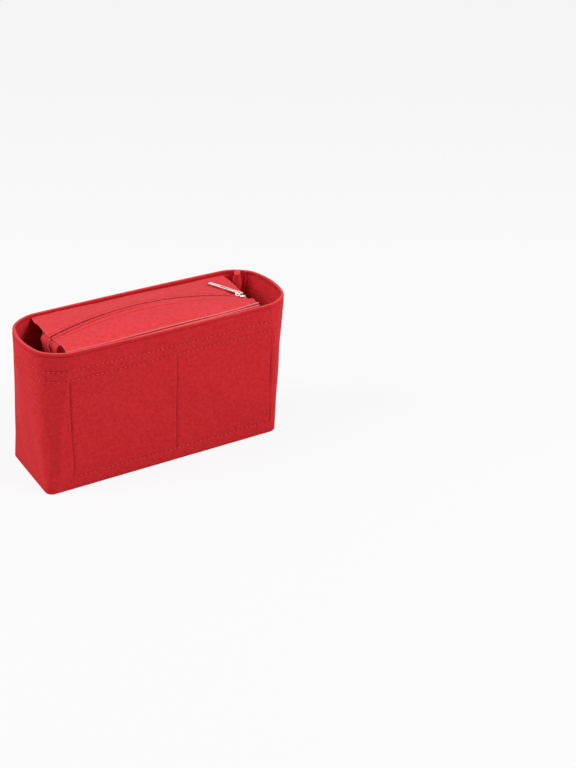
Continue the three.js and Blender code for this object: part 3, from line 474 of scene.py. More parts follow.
@dataclass(frozen=True)
class BinForm:
    """The bin's outline at each height. u runs round it, one unit to each corner and side."""

    height: float = 0.150
    foot_half_length: float = 0.1269
    foot_half_depth: float = 0.0466
    foot_radius: float = 0.0083
    rim_half_length: float = 0.1234
    rim_half_depth: float = 0.049
    rim_radius: float = 0.021
    rim_end_bow: float = 0.0131
    rim_side_bow: float = 0.0016
    rim_shift_right: float = 0.0088
    rim_shift_forward: float = 0.0068
    wall: float = 0.0026
    facing: float = 0.002
    facing_depth: float = 0.034
    gap: float = 0.0003
    seam_u: float = 47 / 90
    fin_depth: float = 0.014
    lay_half: float = 0.00003
    wall_pinch: float = 0.0009
    facing_pinch: float = 0.0007
    ply_gap: float = 0.00005
    pinch_reach: float = 0.014
    pinch_end: float = 0.0035
    rim_roll: float = 0.0006
    roll_reach: float = 0.003

    def pinched(self, z: Points) -> Points:
        """Share of the rim's pinch that there is at each height."""
        return fade(z, self.height - self.pinch_reach, self.height - self.pinch_end)

    def rolled(self, z: Points) -> Points:
        """How far the rim's soft outer edge has turned in at each height."""
        return self.rim_roll * fade(z, self.height - self.roll_reach, self.height) ** 2

    def wall_inset(self, z: Points) -> Points:
        """How far in the wall's inner face lies."""
        return self.wall - self.wall_pinch * self.pinched(z)

    def facing_inset(self, z: Points) -> Points:
        """How far in the facing's outer face lies."""
        return self.wall_inset(z) + mix(self.gap, self.ply_gap, self.pinched(z))

    def inner_inset(self, z: Points) -> Points:
        """How far in the facing's inner face lies."""
        return self.facing_inset(z) + self.facing - self.facing_pinch * self.pinched(z)

    def lap(self, height: float) -> tuple[Points, Points]:
        """Places round the bin and the distance to each of them at one height."""
        places = np.linspace(0, LAP, LAP_STEPS)
        return places, Felting.lengths(self.outline(places, np.full_like(places, height)))

    def distance(self, u: Points, height: float) -> Points:
        """Distance round the bin to each place at one height."""
        places, lengths = self.lap(height)
        return np.interp(np.mod(u, LAP), places, lengths) + np.floor(np.divide(u, LAP)) * lengths[-1]

    def place(self, distance: Points, height: float) -> Points:
        """Place round the bin at each distance at one height."""
        places, lengths = self.lap(height)
        laps = np.floor(distance / lengths[-1])
        return np.interp(np.mod(distance, lengths[-1]), lengths, places) + LAP * laps

    def corner(self, corner: Points, share: Points, length: Points, depth: Points, radius: Points) -> Points:
        """A point on one of the rounded corners."""
        angle = (corner + share) * math.pi / 2
        sign_x = np.where((corner % 4 == 0) | (corner % 4 == 3), 1, -1)
        sign_y = np.where(corner % 4 < 2, 1, -1)
        x = sign_x * (length - radius) + radius * np.cos(angle)
        y = sign_y * (depth - radius) + radius * np.sin(angle)
        return stacked(x, y)

    def outline(self, u: Points, z: Points) -> Points:
        """Points of the outer face in plan, at places round the bin and heights."""
        u, z = np.broadcast_arrays(np.asarray(u, float), np.asarray(z, float))
        rise = z / self.height
        length = mix(self.foot_half_length, self.rim_half_length, rise)
        depth = mix(self.foot_half_depth, self.rim_half_depth, rise)
        radius = mix(self.foot_radius, self.rim_radius, rise)
        lap = np.mod(u, LAP)
        segment = np.floor(lap).astype(int)
        share = lap - segment
        turning = segment % 2 == 0
        first = self.corner(segment // 2, np.where(turning, share, 1), length, depth, radius)
        second = self.corner(segment // 2 + 1, np.zeros_like(share), length, depth, radius)
        point = np.where(turning[..., None], first, mix(first, second, share[..., None]))
        x, y = point[..., 0], point[..., 1]
        along, across = x / length, y / depth
        end_bow = self.rim_end_bow * rise * np.maximum(0, 1 - across**2) * along**2
        side_bow = self.rim_side_bow * rise * np.maximum(0, 1 - along**2) * across**2
        return stacked(
            x + np.sign(x) * end_bow + self.rim_shift_right * rise,
            y + np.sign(y) * side_bow - self.rim_shift_forward * rise,
        )

    def tangent(self, u: Points, z: Points) -> Points:
        """Direction in plan in which u grows."""
        return unit(self.outline(u + PROBE, z) - self.outline(u - PROBE, z))

    def beside(self, u: Points, z: Points, inward: Points | float, along: Points | float) -> Points:
        """A point at distances inward from a place of the wall's outer face and along it."""
        plan = self.outline(u, z)
        run = self.tangent(u, z)
        x = plan[..., 0] - run[..., 1] * inward + run[..., 0] * along
        y = plan[..., 1] + run[..., 0] * inward + run[..., 1] * along
        return stacked(x, y, z)

    def point(self, u: Points, z: Points, inset: Points | float) -> Points:
        """A point of the wall, inset from its outer face."""
        return self.beside(u, z, inset, 0)

    def outward(self, u: Points, z: Points) -> Points:
        """Direction out of the wall."""
        run = self.tangent(u, z)
        return stacked(run[..., 1], -run[..., 0], 0)

    def u_at(self, side: Side, x: Points, z: Points, inset: float) -> Points:
        """Where round the bin its front or back has a given x."""
        x, z = np.broadcast_arrays(np.asarray(x, float), np.asarray(z, float))
        right, left = (np.full(x.shape, end) for end in SIDE_ENDS[side])
        for _ in range(BISECTIONS):
            middle = (right + left) / 2
            beyond = self.point(middle, z, inset)[..., 0] > x
            right = np.where(beyond, middle, right)
            left = np.where(beyond, left, middle)
        return right

    def y_at(self, side: Side, x: Points, z: Points, inset: float) -> Points:
        """The wall's y at a given x, on its front or its back."""
        return self.point(self.u_at(side, x, z, inset), z, inset)[..., 1]

    def from_seam(self, point: Points, z: Points) -> tuple[Points, Points]:
        """Inward depth and sideways distance of wall points from the turned in seam."""
        offset = point[..., :2] - self.outline(self.seam_u, z)
        run = self.tangent(self.seam_u, z)
        depth = run[..., 0] * offset[..., 1] - run[..., 1] * offset[..., 0]
        side = run[..., 0] * offset[..., 0] + run[..., 1] * offset[..., 1]
        return depth, side

    def at_seam(self, z: Points, depth: Points, side: Points) -> Points:
        """The point at an inward depth and a sideways distance from the seam."""
        return self.beside(self.seam_u, z, depth, side)

    def turn_share(self, z: Points, inset: Points, half: Points, direction: int) -> Points:
        """How far round from the seam the wall is a given distance to one side of it."""
        near, far = np.zeros_like(z), np.full_like(z, WIDEST_TURN)
        for _ in range(BISECTIONS):
            middle = (near + far) / 2
            side = self.from_seam(self.point(self.seam_u + direction * middle, z, inset), z)[1]
            beyond = direction * side > half
            far = np.where(beyond, middle, far)
            near = np.where(beyond, near, middle)
        return far


@dataclass(frozen=True)
class FinEnd:
    """How one face of a strip ends beside the seam.

    Attributes:
        half: Distance from the seam's middle at each height.
        reach: Depth of its straight stretch at each height.
        tip: Depth of its roll over the seam's fin, or nothing where it stays straight.
        shape: Power that makes the roll squarer when it is below one.
    """

    half: Points
    reach: Points
    tip: float | None = None
    shape: float = 1.0


@dataclass(frozen=True)
class Strip:
    """A felt strip that goes round the bin, with both of its ends turned in at the seam."""

    form: BinForm
    open_share: float = 0.34
    fin_steps: int = 6
    roll_steps: int = 12
    turn_steps: int = 6
    lead_steps: int = 3

    def roll(self, z: Points, end: FinEnd, direction: int) -> list[Points]:
        """Columns over the fin's tip, from the cut edge on its far side to the straight stretch."""
        columns = []
        for angle in np.arange(self.roll_steps) * math.pi / self.roll_steps:
            turned, raised = math.cos(angle), math.sin(angle)
            side = -direction * end.half * math.copysign(abs(turned) ** end.shape, turned)
            columns.append(self.form.at_seam(z, mix(end.reach, end.tip, raised**end.shape), side))
        return columns

    def face(
        self, z: Points, inset: Points, ends: tuple[FinEnd, FinEnd], turn: float, notch: float, warp: Points,
        lift: Points | float = 0,
    ) -> Points:
        """Points of one face of the strip.

        Args:
            z: Height of each row.
            inset: How far inside the bin's outer face each row lies.
            ends: The end that comes along the back and the one that comes along the right end.
            turn: How far from the seam the turn starts.
            notch: How much deeper than the wall the turn reaches.
            warp: For each row, the place round the bin of each station.
            lift: How much further in each point of the ring lies.

        Returns:
            The points, rows by columns by three.
        """
        form = self.form
        sides = []
        for direction, fin_end in zip((1, -1), ends):
            half = fin_end.half
            root = form.turn_share(z, inset, half, direction)
            depth = form.from_seam(form.point(form.seam_u + direction * root, z, inset), z)[0] + notch
            shoulder = form.at_seam(z, fin_end.reach, direction * half)
            start = form.at_seam(z, depth + turn, direction * half)
            corner = form.at_seam(z, depth, direction * half)
            away = form.turn_share(z, inset, half + turn, direction)
            end = form.point(form.seam_u + direction * away, z, inset)
            fin = [] if fin_end.tip is None else self.roll(z, fin_end, direction)
            fin += [mix(shoulder, start, share) for share in np.arange(self.fin_steps) / self.fin_steps]
            bend = []
            for share in np.arange(self.turn_steps) / self.turn_steps:
                bend.append(mix(mix(start, corner, share), mix(corner, end, share), share))
            lead = [
                form.point(form.seam_u + direction * mix(away, self.open_share, share), z, inset)
                for share in np.arange(self.lead_steps) / self.lead_steps
            ]
            sides.append(np.stack(fin + bend + lead, axis=1))
        ring = form.point(warp, z[:, None], inset[:, None] + lift)
        return np.concatenate([sides[0], ring, sides[1][:, ::-1]], axis=1)

    def widened(self, values: Points, ends: tuple[FinEnd, FinEnd]) -> Points:
        """Values at the ring's places, with zeros for the turned in ends."""
        plain = self.fin_steps + self.turn_steps + self.lead_steps
        first, last = (plain if end.tip is None else plain + self.roll_steps for end in ends)
        return np.pad(values, ((0, 0), (first, last)))


@dataclass
class FeltBin:
    """The open felt bin: wall strip, rim facing, base and the stitch rows round them."""

    form: BinForm
    foot_round: float = 0.0022
    foot_steps: int = 6
    edge_round: float = 0.00045
    turn: float = 0.0009
    inner_turn: float = 0.0006
    notch: float = 0.0006
    groove_half: float = 0.001
    band_groove: float = 0.00055
    vertical_groove: float = 0.0006
    bottom_groove: float = 0.0006
    stitch_sink: float = 0.75
    rim_row_drop: float = 0.0035
    upper_row_drop: float = 0.0187
    lower_row_drop: float = 0.029
    pocket_row_height: float = 0.014
    left_row: float = -0.099
    middle_row: float = 0.0106
    front_right_row: float = 0.1165
    back_right_row: float = 0.1047
    base_thickness: float = 0.003
    base_round: float = 0.0006
    base_steps: int = 2
    base_sharp: float = math.radians(40)
    base_spread: float = 0.00025
    base_edge_reach: float = 0.002
    column_pitch: float = 0.0026
    row_pitch: float = 0.0032
    wall_reach: float = 0.010
    facing_reach: float = 0.009
    facing_tip: float = 0.0106
    facing_shape: float = 0.5
    lobe_tip: float = 0.0136
    lobe_crease: float = 0.0006
    seam_row_reach: float = 0.0114
    lobe_row_reach: float = 0.0072
    facing_open: float = 0.24
    gather_height: float = 0.0011
    gather_lengths: Pair = (0.0047, 0.0033)
    gather_shares: Pair = (0.35, 1.0)
    gather_reach: float = 0.015
    gather_pitch: float = 0.0008
    short_share: float = 0.6
    short_phase: float = 1.0
    settled_height: float = 0.03
    unevenness: Ripple = field(default_factory=lambda: Ripple(seed=11, length=0.035, height=0.00035))

    def band_rows(self) -> list[float]:
        """Heights of the three rows that go round the bin."""
        drops = (self.rim_row_drop, self.upper_row_drop, self.lower_row_drop)
        return [self.form.height - drop for drop in drops]

    def rows_of(self, side: Side) -> list[float]:
        """x of the three rows that run down the front or the back."""
        right = self.front_right_row if side is Side.FRONT else self.back_right_row
        return [self.left_row, self.middle_row, right]

    def row_places(self, height: float) -> Points:
        """Places round the bin of the six rows that run down it, in order, at one height."""
        z = np.full(3, height)
        back = self.form.u_at(Side.BACK, np.array(self.rows_of(Side.BACK)[::-1]), z, 0)
        front = self.form.u_at(Side.FRONT, np.array(self.rows_of(Side.FRONT)), z, 0)
        return np.concatenate([back, front])

    def ends(self, strip: Strip) -> Pair:
        """Places round the bin at which a strip's ring starts and ends."""
        return self.form.seam_u + strip.open_share, LAP + self.form.seam_u - strip.open_share

    def ring(self, strip: Strip, pitch: float, gathered: bool) -> Points:
        """Stations round the bin, closer at the vertical rows and where the felt is gathered."""
        form = self.form
        middle = form.height / 2
        start, end = (float(form.distance(u, middle)) for u in self.ends(strip))
        rows = form.distance(self.row_places(self.pocket_row_height), middle).tolist()
        stations = refined(start, end, pitch, rows, 2 * self.groove_half, self.groove_half / 2)
        if gathered:
            reach = 2 * self.gather_reach
            near = np.arange(0, reach, self.gather_pitch)
            between = stations[(stations > start + reach) & (stations < end - reach)]
            stations = np.concatenate([start + near, between, end - near[::-1]])
        return form.place(stations, middle)

    def warped(self, strip: Strip, stations: Points, heights: Points) -> Points:
        """Stations moved at each height so that the same ones stay on the vertical rows."""
        start, end = self.ends(strip)
        known = np.concatenate([[start], self.row_places(self.pocket_row_height), [end]])
        moved = [np.concatenate([[start], self.row_places(z), [end]]) for z in heights]
        return np.array([np.interp(stations, known, places) for places in moved])

    def heights(self, bottom: float, marks: list[float]) -> Points:
        """Heights of a strip's rows, closer at its stitch rows and where its rim turns in."""
        form = self.form
        marks = [*marks, form.height - form.roll_reach / 2]
        return refined(bottom, form.height, self.row_pitch, marks, 2 * self.groove_half, self.groove_half / 2)

    def grooves(self, u: Points, z: Points) -> Points:
        """How deep the thread draws the wall's outer face in at each place."""
        point = self.form.point(u, z, 0)
        x, y = point[..., 0], point[..., 1]
        low, high = self.pocket_row_height, self.band_rows()[-1]
        half = self.groove_half
        depth = np.zeros_like(x)
        for height in self.band_rows():
            depth = np.maximum(depth, self.band_groove * bump_at(z - height, half))
        span = fade(z, low - half, low) * (1 - fade(z, high, high + half))
        for side in Side:
            rows = self.rows_of(side)
            here = (np.sign(y) == side.value) & (np.abs(y) > self.form.foot_half_depth / 2)
            for row in rows:
                depth = np.maximum(depth, self.vertical_groove * here * span * bump_at(x - row, half))
            between = here * fade(x, rows[0] - half, rows[0]) * (1 - fade(x, rows[-1], rows[-1] + half))
            depth = np.maximum(depth, self.bottom_groove * between * bump_at(z - low, half))
        return depth

    def wall(self) -> Object:
        """The wall strip, with its foot and rim rounded and its thread drawn in."""
        form = self.form
        upper = self.heights(self.foot_round, [*self.band_rows(), self.pocket_row_height])
        turn = np.linspace(0, math.pi / 2, self.foot_steps)[:-1]
        z = np.concatenate([self.foot_round * (1 - np.cos(turn)), upper])
        even = np.concatenate([np.linspace(0, self.foot_round, self.foot_steps)[:-1], upper])
        inset = np.concatenate([self.foot_round * (1 - np.sin(turn)), form.rolled(upper)])
        strip = Strip(form)
        warp = self.warped(strip, self.ring(strip, self.column_pitch, False), z)
        wave = self.unevenness.at(warp * form.foot_half_length, z[:, None])
        pinching = fade(z, form.height - form.pinch_reach, form.height)
        settled = fade(z, 0, self.settled_height) * (1 - pinching)
        wave = wave * settled[:, None]
        step = form.height - form.facing_depth
        reach = mix(form.fin_depth, self.wall_reach, fade(z, step - self.row_pitch, step))
        outer = FinEnd(np.full_like(z, form.lay_half), reach)
        inner = FinEnd(form.lay_half + form.wall_inset(z), reach)
        drawn = self.grooves(warp, z[:, None])
        face = strip.face(z, inset, (outer, outer), self.turn, self.notch, warp, drawn + wave)
        back = strip.face(even, form.wall_inset(even), (inner, inner), self.inner_turn, 0, warp, wave)
        # Painted shade in the grooves, as strong as each groove is deep
        groove_shade_weight = strip.widened(drawn / self.band_groove, (outer, outer))
        return Felting.sheet("bin_wall_felt", face, back, self.edge_round, pressed=(np.minimum(groove_shade_weight, 1), 0))

    def gathers(self, warp: Points, z: Points) -> Points:
        """How far the facing's gathers stand in on each side of the seam."""
        form = self.form
        long, short = self.gather_lengths
        total = np.zeros(warp.shape)
        lap = float(form.distance(form.seam_u, form.height))
        end = float(form.distance(LAP + form.seam_u, form.height))
        distance = form.distance(warp, form.height)
        for away, share in zip((distance - lap, end - distance), self.gather_shares):
            waves = np.sin(away * math.tau / long)
            waves += self.short_share * np.sin(away * math.tau / short + self.short_phase)
            total += share * self.gather_height * waves * bump_at(away, self.gather_reach)
        bottom = form.height - form.facing_depth
        return total * fade(z, bottom, bottom + 2 * self.row_pitch)[:, None]

    def facing(self) -> Object:
        """The facing inside the rim, its one end rolled over the seam's fin and gathered beside it."""
        form = self.form
        z = self.heights(form.height - form.facing_depth, self.band_rows())
        strip = Strip(form, self.facing_open)
        warp = self.warped(strip, self.ring(strip, self.column_pitch / 2, True), z)
        drawn = sum(bump_at(z - height, self.groove_half) for height in self.band_rows())[:, None]
        lift = self.gathers(warp, z) - self.band_groove * drawn
        reach = np.full_like(z, self.facing_reach)
        faces = []
        for inset, tip, shape, raised in (
            (form.facing_inset(z), self.facing_tip, self.facing_shape, 0.0),
            (form.inner_inset(z), self.lobe_tip, 1.0, lift),
        ):
            half = form.lay_half + inset
            ends = FinEnd(half, reach, tip, shape), FinEnd(half, reach - self.lobe_crease)
            faces.append(strip.face(z, inset, ends, self.inner_turn, 0, warp, raised))
        # Painted shade in the facing's grooves under the band rows
        groove_shade_weight = strip.widened(np.broadcast_to(drawn, warp.shape), ends)
        return Felting.sheet("rim_facing_felt", faces[0], faces[1], self.edge_round, pressed=(0, groove_shade_weight))

    def base(self) -> Object:
        """The base panel with softened edges, spread to meet the wall."""
        round_to = self.base_round, self.base_steps, self.base_sharp
        base = Felting.of_node("base_panel", "base_felt", *round_to)
        places = Bench.places(base)
        reach = np.abs(places[:, :2])
        edge = reach > reach.max(axis=0) - self.base_edge_reach
        places[:, :2] += np.where(edge, np.sign(places[:, :2]) * self.base_spread, 0)
        Bench.set_places(base, places)
        return base

    def round_row(self, name: str, z: float, stitching: Stitching) -> Object:
        """A row round the bin, seen on its outer face and on the facing."""
        form = self.form
        start, end = self.ends(Strip(form, self.facing_open))
        u = np.linspace(start, end, ROW_POINTS)
        height = np.full_like(u, z)
        out = form.outward(u, height)
        sunk = self.band_groove * self.stitch_sink
        outside = form.point(u, height, form.rolled(height) + sunk)
        inside = form.point(u, height, form.inner_inset(height) - sunk)
        return stitching.row(name, [(outside, out), (inside, -out)])

    def wall_row(
        self, name: str, side: Side, x: Points, z: Points, groove: float, stitching: Stitching
    ) -> Object:
        """A row on the outside of the wall, sunk in its groove."""
        u = self.form.u_at(side, x, z, 0)
        face = self.form.point(u, z, groove * self.stitch_sink)
        return stitching.row(name, [(face, self.form.outward(u, z))])

    def vertical_row(self, name: str, side: Side, x: float, stitching: Stitching) -> Object:
        """A row down the outside of the wall."""
        low, high = self.pocket_row_height + stitching.pitch, self.band_rows()[-1] - stitching.pitch
        z = np.linspace(low, high, ROW_POINTS)
        return self.wall_row(name, side, np.full_like(z, x), z, self.vertical_groove, stitching)

    def bottom_row(self, name: str, side: Side, stitching: Stitching) -> Object:
        """The row along the foot of the pockets, on the outside of the wall."""
        rows = self.rows_of(side)
        x = np.linspace(rows[0], rows[-1], ROW_POINTS)
        z = np.full_like(x, self.pocket_row_height)
        return self.wall_row(name, side, x, z, self.bottom_groove, stitching)

    def base_row(self, stitching: Stitching) -> Object:
        """The row in the corner between the base and the wall."""
        form = self.form
        u = np.linspace(*self.ends(Strip(form)), ROW_POINTS)
        z = np.full_like(u, self.base_thickness + stitching.width)
        line = form.point(u, z, form.wall + form.gap)
        return stitching.row("base_seam_stitches", [(line, -form.outward(u, z))])

    def seam_row(self, stitching: Stitching) -> Object:
        """The row that closes the turned in seam, on both sides of the fin."""
        form = self.form
        step = form.height - form.facing_depth
        pitch = stitching.pitch
        foot, rim = self.base_thickness + 2 * pitch, form.height - pitch / 2
        spans = (
            (foot, step - pitch, self.seam_row_reach, form.wall_inset),
            (step + pitch / 2, rim, self.lobe_row_reach, form.inner_inset),
        )
        lines = []
        for direction in (1, -1):
            for low, high, depth, inset in spans:
                z = np.linspace(low, high, ROW_POINTS)
                reach = np.full_like(z, depth)
                side = direction * (form.lay_half + inset(z))
                face = form.at_seam(z, reach, side)
                lines.append((face, unit(form.at_seam(z, reach, 2 * side) - face)))
        return stitching.row("wall_seam_stitches", lines)

    def build(self, finishes: Finishes) -> None:
        """Makes and dresses every piece of the bin."""
        fitted(self.wall(), "bin", Slot.WALL, finishes.wall, "bin_wall", held=Held.FOLDED)
        fitted(self.facing(), "bin", Slot.FACING, finishes.facing, "rim_facing", held=Held.GATHERED)
        fitted(self.base(), "bin", Slot.WALL, finishes.wall, "base_panel")
        for name, z, stitching, thread in zip(
            ("rim_edge", "band_upper", "band_lower"), self.band_rows(), (LONG, PLAIN, PLAIN),
            (finishes.dark_thread, finishes.thread, finishes.thread),
        ):
            row = self.round_row(f"{name}_stitches", z, stitching)
            fitted(row, "bin", Slot.THREAD, thread, f"{name}_stitch")
        fitted(self.base_row(PLAIN), "bin", Slot.THREAD, finishes.thread, "base_seam_stitch")
        fitted(self.seam_row(LONG), "bin", Slot.THREAD, finishes.dark_thread, "wall_seam_stitch")
        for side in Side:
            start = f"{side.word}_pocket"
            for place, x in zip(("left", "middle", "right"), self.rows_of(side)):
                row = self.vertical_row(f"{start}_{place}_stitches", side, x, LONG)
                fitted(row, "bin", Slot.THREAD, finishes.dark_thread, f"{start}_{place}_stitch")
            row = self.bottom_row(f"{start}_bottom_stitches", side, PLAIN)
            fitted(row, "bin", Slot.THREAD, finishes.thread, f"{start}_bottom_stitch")


@dataclass
class InnerPockets:
    """The pocket panels inside the front and the back, each split in two by its middle row."""

    bin: FeltBin
    thickness: float = 0.0016
    hem: float = 0.003
    top_gap: float = 0.004
    gape: float = 0.0066
    gape_shape: float = 1.5
    drawn: float = 0.0004
    column_pitch: float = 0.004
    row_pitch: float = 0.005
    edge_round: float = 0.0005

    def bow(self, side: Side, x: Points, z: Points) -> Points:
        """How far the panel stands off the wall."""
        rows = self.bin.rows_of(side)
        low = self.bin.pocket_row_height
        rise = np.clip((z - low) / (self.top() - low), 0, 1)
        total = np.zeros(np.broadcast(x, z).shape)
        for start, end in zip(rows, rows[1:]):
            share = np.clip((x - start) / (end - start), 0, 1)
            total = total + self.gape * np.sin(math.pi * share) * rise**self.gape_shape
        return total

    def top(self) -> float:
        """Height of the pockets' open edge."""
        return self.bin.form.height - self.bin.form.facing_depth - self.top_gap

    def panel(self, name: str, side: Side) -> Object:
        """One panel, bowed between its rows."""
        rows = self.bin.rows_of(side)
        pull = self.bin.groove_half
        x = refined(rows[0] - self.hem, rows[-1] + self.hem, self.column_pitch, rows, 2 * pull, pull)
        low = self.bin.pocket_row_height
        z = refined(low - self.hem, self.top(), self.row_pitch, [low], 2 * pull, pull)
        x, z = np.meshgrid(x, z)
        wall = self.bin.form.y_at(side, x, z, self.bin.form.wall)
        stand = self.bin.form.gap + self.bow(side, x, z)
        draw = sum(bump_at(x - row, pull) for row in rows) + bump_at(z - low, pull)
        near = wall - side.value * stand
        far = near - side.value * (self.thickness - self.drawn * np.minimum(draw, 1))
        return Felting.sheet(name, stacked(x, near, z), stacked(x, far, z), self.edge_round)

    def build(self, finishes: Finishes) -> None:
        """Makes and dresses both panels."""
        for side in Side:
            panel = self.panel(f"{side.word}_pocket_felt", side)
            node = f"{side.word}_pocket_panel"
            fitted(panel, "bin", Slot.POCKET, finishes.pocket, node, held=Held.STRETCHED)


class ZipLine:
    """The arc that the zip lies on, in a plane that leans back."""

    def __init__(self, left: Points, crest: Points, right: Points) -> None:
        """Finds the arc through three points, the first and last being its ends."""
        to_crest, to_right = crest - left, right - left
        axis = np.cross(to_crest, to_right)
        first = np.cross(axis, to_crest) * (to_right @ to_right)
        second = np.cross(to_right, axis) * (to_crest @ to_crest)
        self.centre = (first + second) / (2 * axis @ axis) + left
        self.axis = -axis / np.linalg.norm(axis)
        self.radius = float(np.linalg.norm(self.centre - left))
        self.crest = crest
        before, after = self.angle(crest, left), self.angle(crest, right)
        self.length = self.radius * (before + after)
        self.crest_distance = self.radius * before
        along = unit(np.cross(self.axis, crest - self.centre))
        self.turn = float(np.sign(along[0]))
        self.along = along * self.turn
        across = np.array([0.0, 1.0, 0.0])
        self.across = unit(across - (across @ self.along) * self.along)
        self.above = np.cross(self.along, self.across)

    def angle(self, first: Points, second: Points) -> float:
        """Angle at the centre between two points of the arc."""
        a, b = unit(first - self.centre), unit(second - self.centre)
        return math.acos(float(np.clip(a @ b, -1, 1)))

    def frame(self, distance: Points) -> tuple[Points, Points, Points, Points]:
        """Place, direction along, direction across and direction up at distances along the zip."""
        angle = (self.turn * (np.asarray(distance, float) - self.crest_distance) / self.radius)[:, None]

        def turned(vector: Points) -> Points:
            """The vector at the crest, carried round to each distance."""
            side = np.cross(self.axis, vector)
            flat = (self.axis @ vector) * self.axis
            return vector * np.cos(angle) + side * np.sin(angle) + flat * (1 - np.cos(angle))

        place = turned(self.crest - self.centre) + self.centre
        return place, turned(self.along), turned(self.across), turned(self.above)

    def at(self, distance: Points, across: Points | float, above: Points | float) -> Points:
        """Points beside and above the zip's line."""
        place, _, side, up = self.frame(distance)
        lateral = np.broadcast_to(across, len(place))[:, None]
        height = np.broadcast_to(above, len(place))[:, None]
        return place + side * lateral + up * height


def each_side(front: object, back: object) -> dict[Side, object]:
    """A dataclass field with one value for the front and one for the back."""
    return field(default_factory=lambda: {Side.FRONT: front, Side.BACK: back})


@dataclass
class ZipPouch:
    """The zipped pouch: felt shell with two ends, two top panels, and the zip between them."""

    form: BinForm
    felt: float = 0.002
    left: float = -0.0972
    right_front: float = 0.1028
    right_back: float = 0.1108
    front_top: float = -0.045977
    front_middle: float = -0.04213
    front_foot: float = -0.0415
    back: float = 0.031975
    foot: float = 0.0033
    foot_radius: float = 0.008
    lip_gaps: dict[Side, Pair] = each_side((0.0024, 0.0016), (0.0009, 0.0009))
    lip_rises: dict[Side, Pair] = each_side((0.0003, 0.0004), (0.0008, -0.0006))
    flange_gap: float = 0.0006
    flange_thickness: float = 0.0016
    flange_start: float = 0.0005
    flange_leg: float = 0.005
    flange_drops: Pair = (0.0013, -0.0015)
    flange_counts: tuple[int, int] = (5, 9)
    flange_easing: int = 1
    front_seam_left_drop: float = 0.0015
    front_seam_right_rise: float = 0.0025
    back_seam_drop: float = 0.0033
    crown: float = 0.0012
    crown_share: float = 0.75
    end_overhang: float = 0.001
    end_draw: float = 0.008
    pocket_top: float = 0.112
    channel_half: float = 0.0022
    flat_half: float = 0.0065
    seen_half: float = 0.00065
    open_extra: float = 0.0011
    open_share: float = 0.4
    top_pitch: float = 0.0024
    top_counts: tuple[int, ...] = (4, 14, 12, 8, 8, 8, 6)
    top_easing: int = 25
    ease_share: float = 0.05
    ease_reach: Pair = (0.004, 0.02)
    zip_swell: float = 0.00015
    back_bead: float = 0.0006
    back_bead_half: float = 0.0024
    edge_thinning: float = 0.0011
    lip_thinning: float = 0.0006
    lip_curls: dict[Side, float] = each_side(0.0009, 0.0)
    curl_power: int = 4
    seam_dip: float = 0.0006
    seam_dip_half: float = 0.0016
    crease: float = 0.0013
    crease_place: float = 0.0024
    # Painted shade along the front panel's crease, on top of its dip
    crease_shade: float = 2.2
    crease_half: float = 0.0009
    crease_shares: Pair = (0.3, 0.6)
    tape_half: float = 0.0135
    tape_thickness: float = 0.0006
    tape_stations: int = 90
    tape_counts: tuple[int, int] = (14, 10)
    flaps: dict[Side, float] = each_side(0.0047, 0.0013)
    flap_share: float = 0.06
    rib: float = 0.0005
    rib_place: float = 0.0032
    rib_half: float = 0.0008
    # Painted shade: two dark lines along the tape, one on each side of its rib
    rib_shade_places: Pair = (0.0019, 0.0049)
    rib_start: float = 0.004
    tape_inner: float = 0.00005
    coil_inner: float = 0.0006
    coil_closed: float = 0.00005
    coil_opening: Pair = (0.003, 0.008)
    coil_width: float = 0.0013
    coil_height: float = 0.0013
    coil_pitch: float = 0.00125
    coil_wire: float = 0.0011
    coil_square: float = 0.8
    coil_sides: int = 8
    coil_rings: int = 6
    tail_radius: float = 0.0035
    tail_length: float = 0.018
    end_radius: float = 0.0016
    end_length: float = 0.006
    tail_stations: int = 16
    ending_stations: int = 9
    topstitches: dict[Side, float] = each_side(0.009, 0.0034)
    gap: float = 0.0003
    stitch_inset: float = 0.003
    groove: float = 0.00045
    groove_half: float = 0.001
    edge_round: float = 0.00045
    # Cut edge tone with a painted highlight, at the top panel's first and last columns and rows
    top_cut_highlights: tuple[float, ...] = (0.75, 1, 0.84, 0.84)
    end_drop: float = 0.002
    end_margin: float = 0.05
    end_hollows: Pair = (0.024, 0.005)
    end_fullness: float = 0.6
    end_rows: int = 60
    end_columns: int = 44
    shell_top_gap: float = 0.0008
    shell_stations: int = 90
    shell_columns: int = 50
    foot_steps: int = 10
    edge_points: int = 60
    zip_left: Pair = (-0.010, -0.003)
    zip_crest: Place = (-0.010, -0.003, 0.0062)
    zip_right: Pair = (-0.012, -0.0083)
    line: ZipLine = field(init=False)
    unevenness: Ripple = field(default_factory=lambda: Ripple(seed=23, length=0.04, height=0.00035))

    def __post_init__(self) -> None:
        """Sets the zip's line from its ends and its crest, measured up from the rim."""
        rim = UP * self.form.height
        left, right = (self.left, *self.zip_left), (self.right_back, *self.zip_right)
        self.line = ZipLine(rim + left, rim + self.zip_crest, rim + right)

    def seam(self, side: Side, share: Points) -> Points:
        """Where a top panel turns to its lip, over the shell."""
        if side is Side.FRONT:
            low = self.form.height - self.front_seam_left_drop
            high = self.form.height + self.front_seam_right_rise
            x = mix(self.left, self.right_front, share)
            return stacked(x, self.front_top, mix(low, high, share))
        x = mix(self.left, self.right_back, share)
        return stacked(x, self.back, self.form.height - self.back_seam_drop)

    def lip(self, side: Side, share: Points) -> Points:
        """The outer end of a top panel's lip, beside the facing."""
        rim = self.form.height
        inset = self.form.inner_inset(rim) + mix(*self.lip_gaps[side], share)
        lip = self.seam(side, share) + UP * mix(*self.lip_rises[side], share)[:, None]
        lip[:, 1] = self.form.y_at(side, lip[:, 0], rim, inset)
        return lip

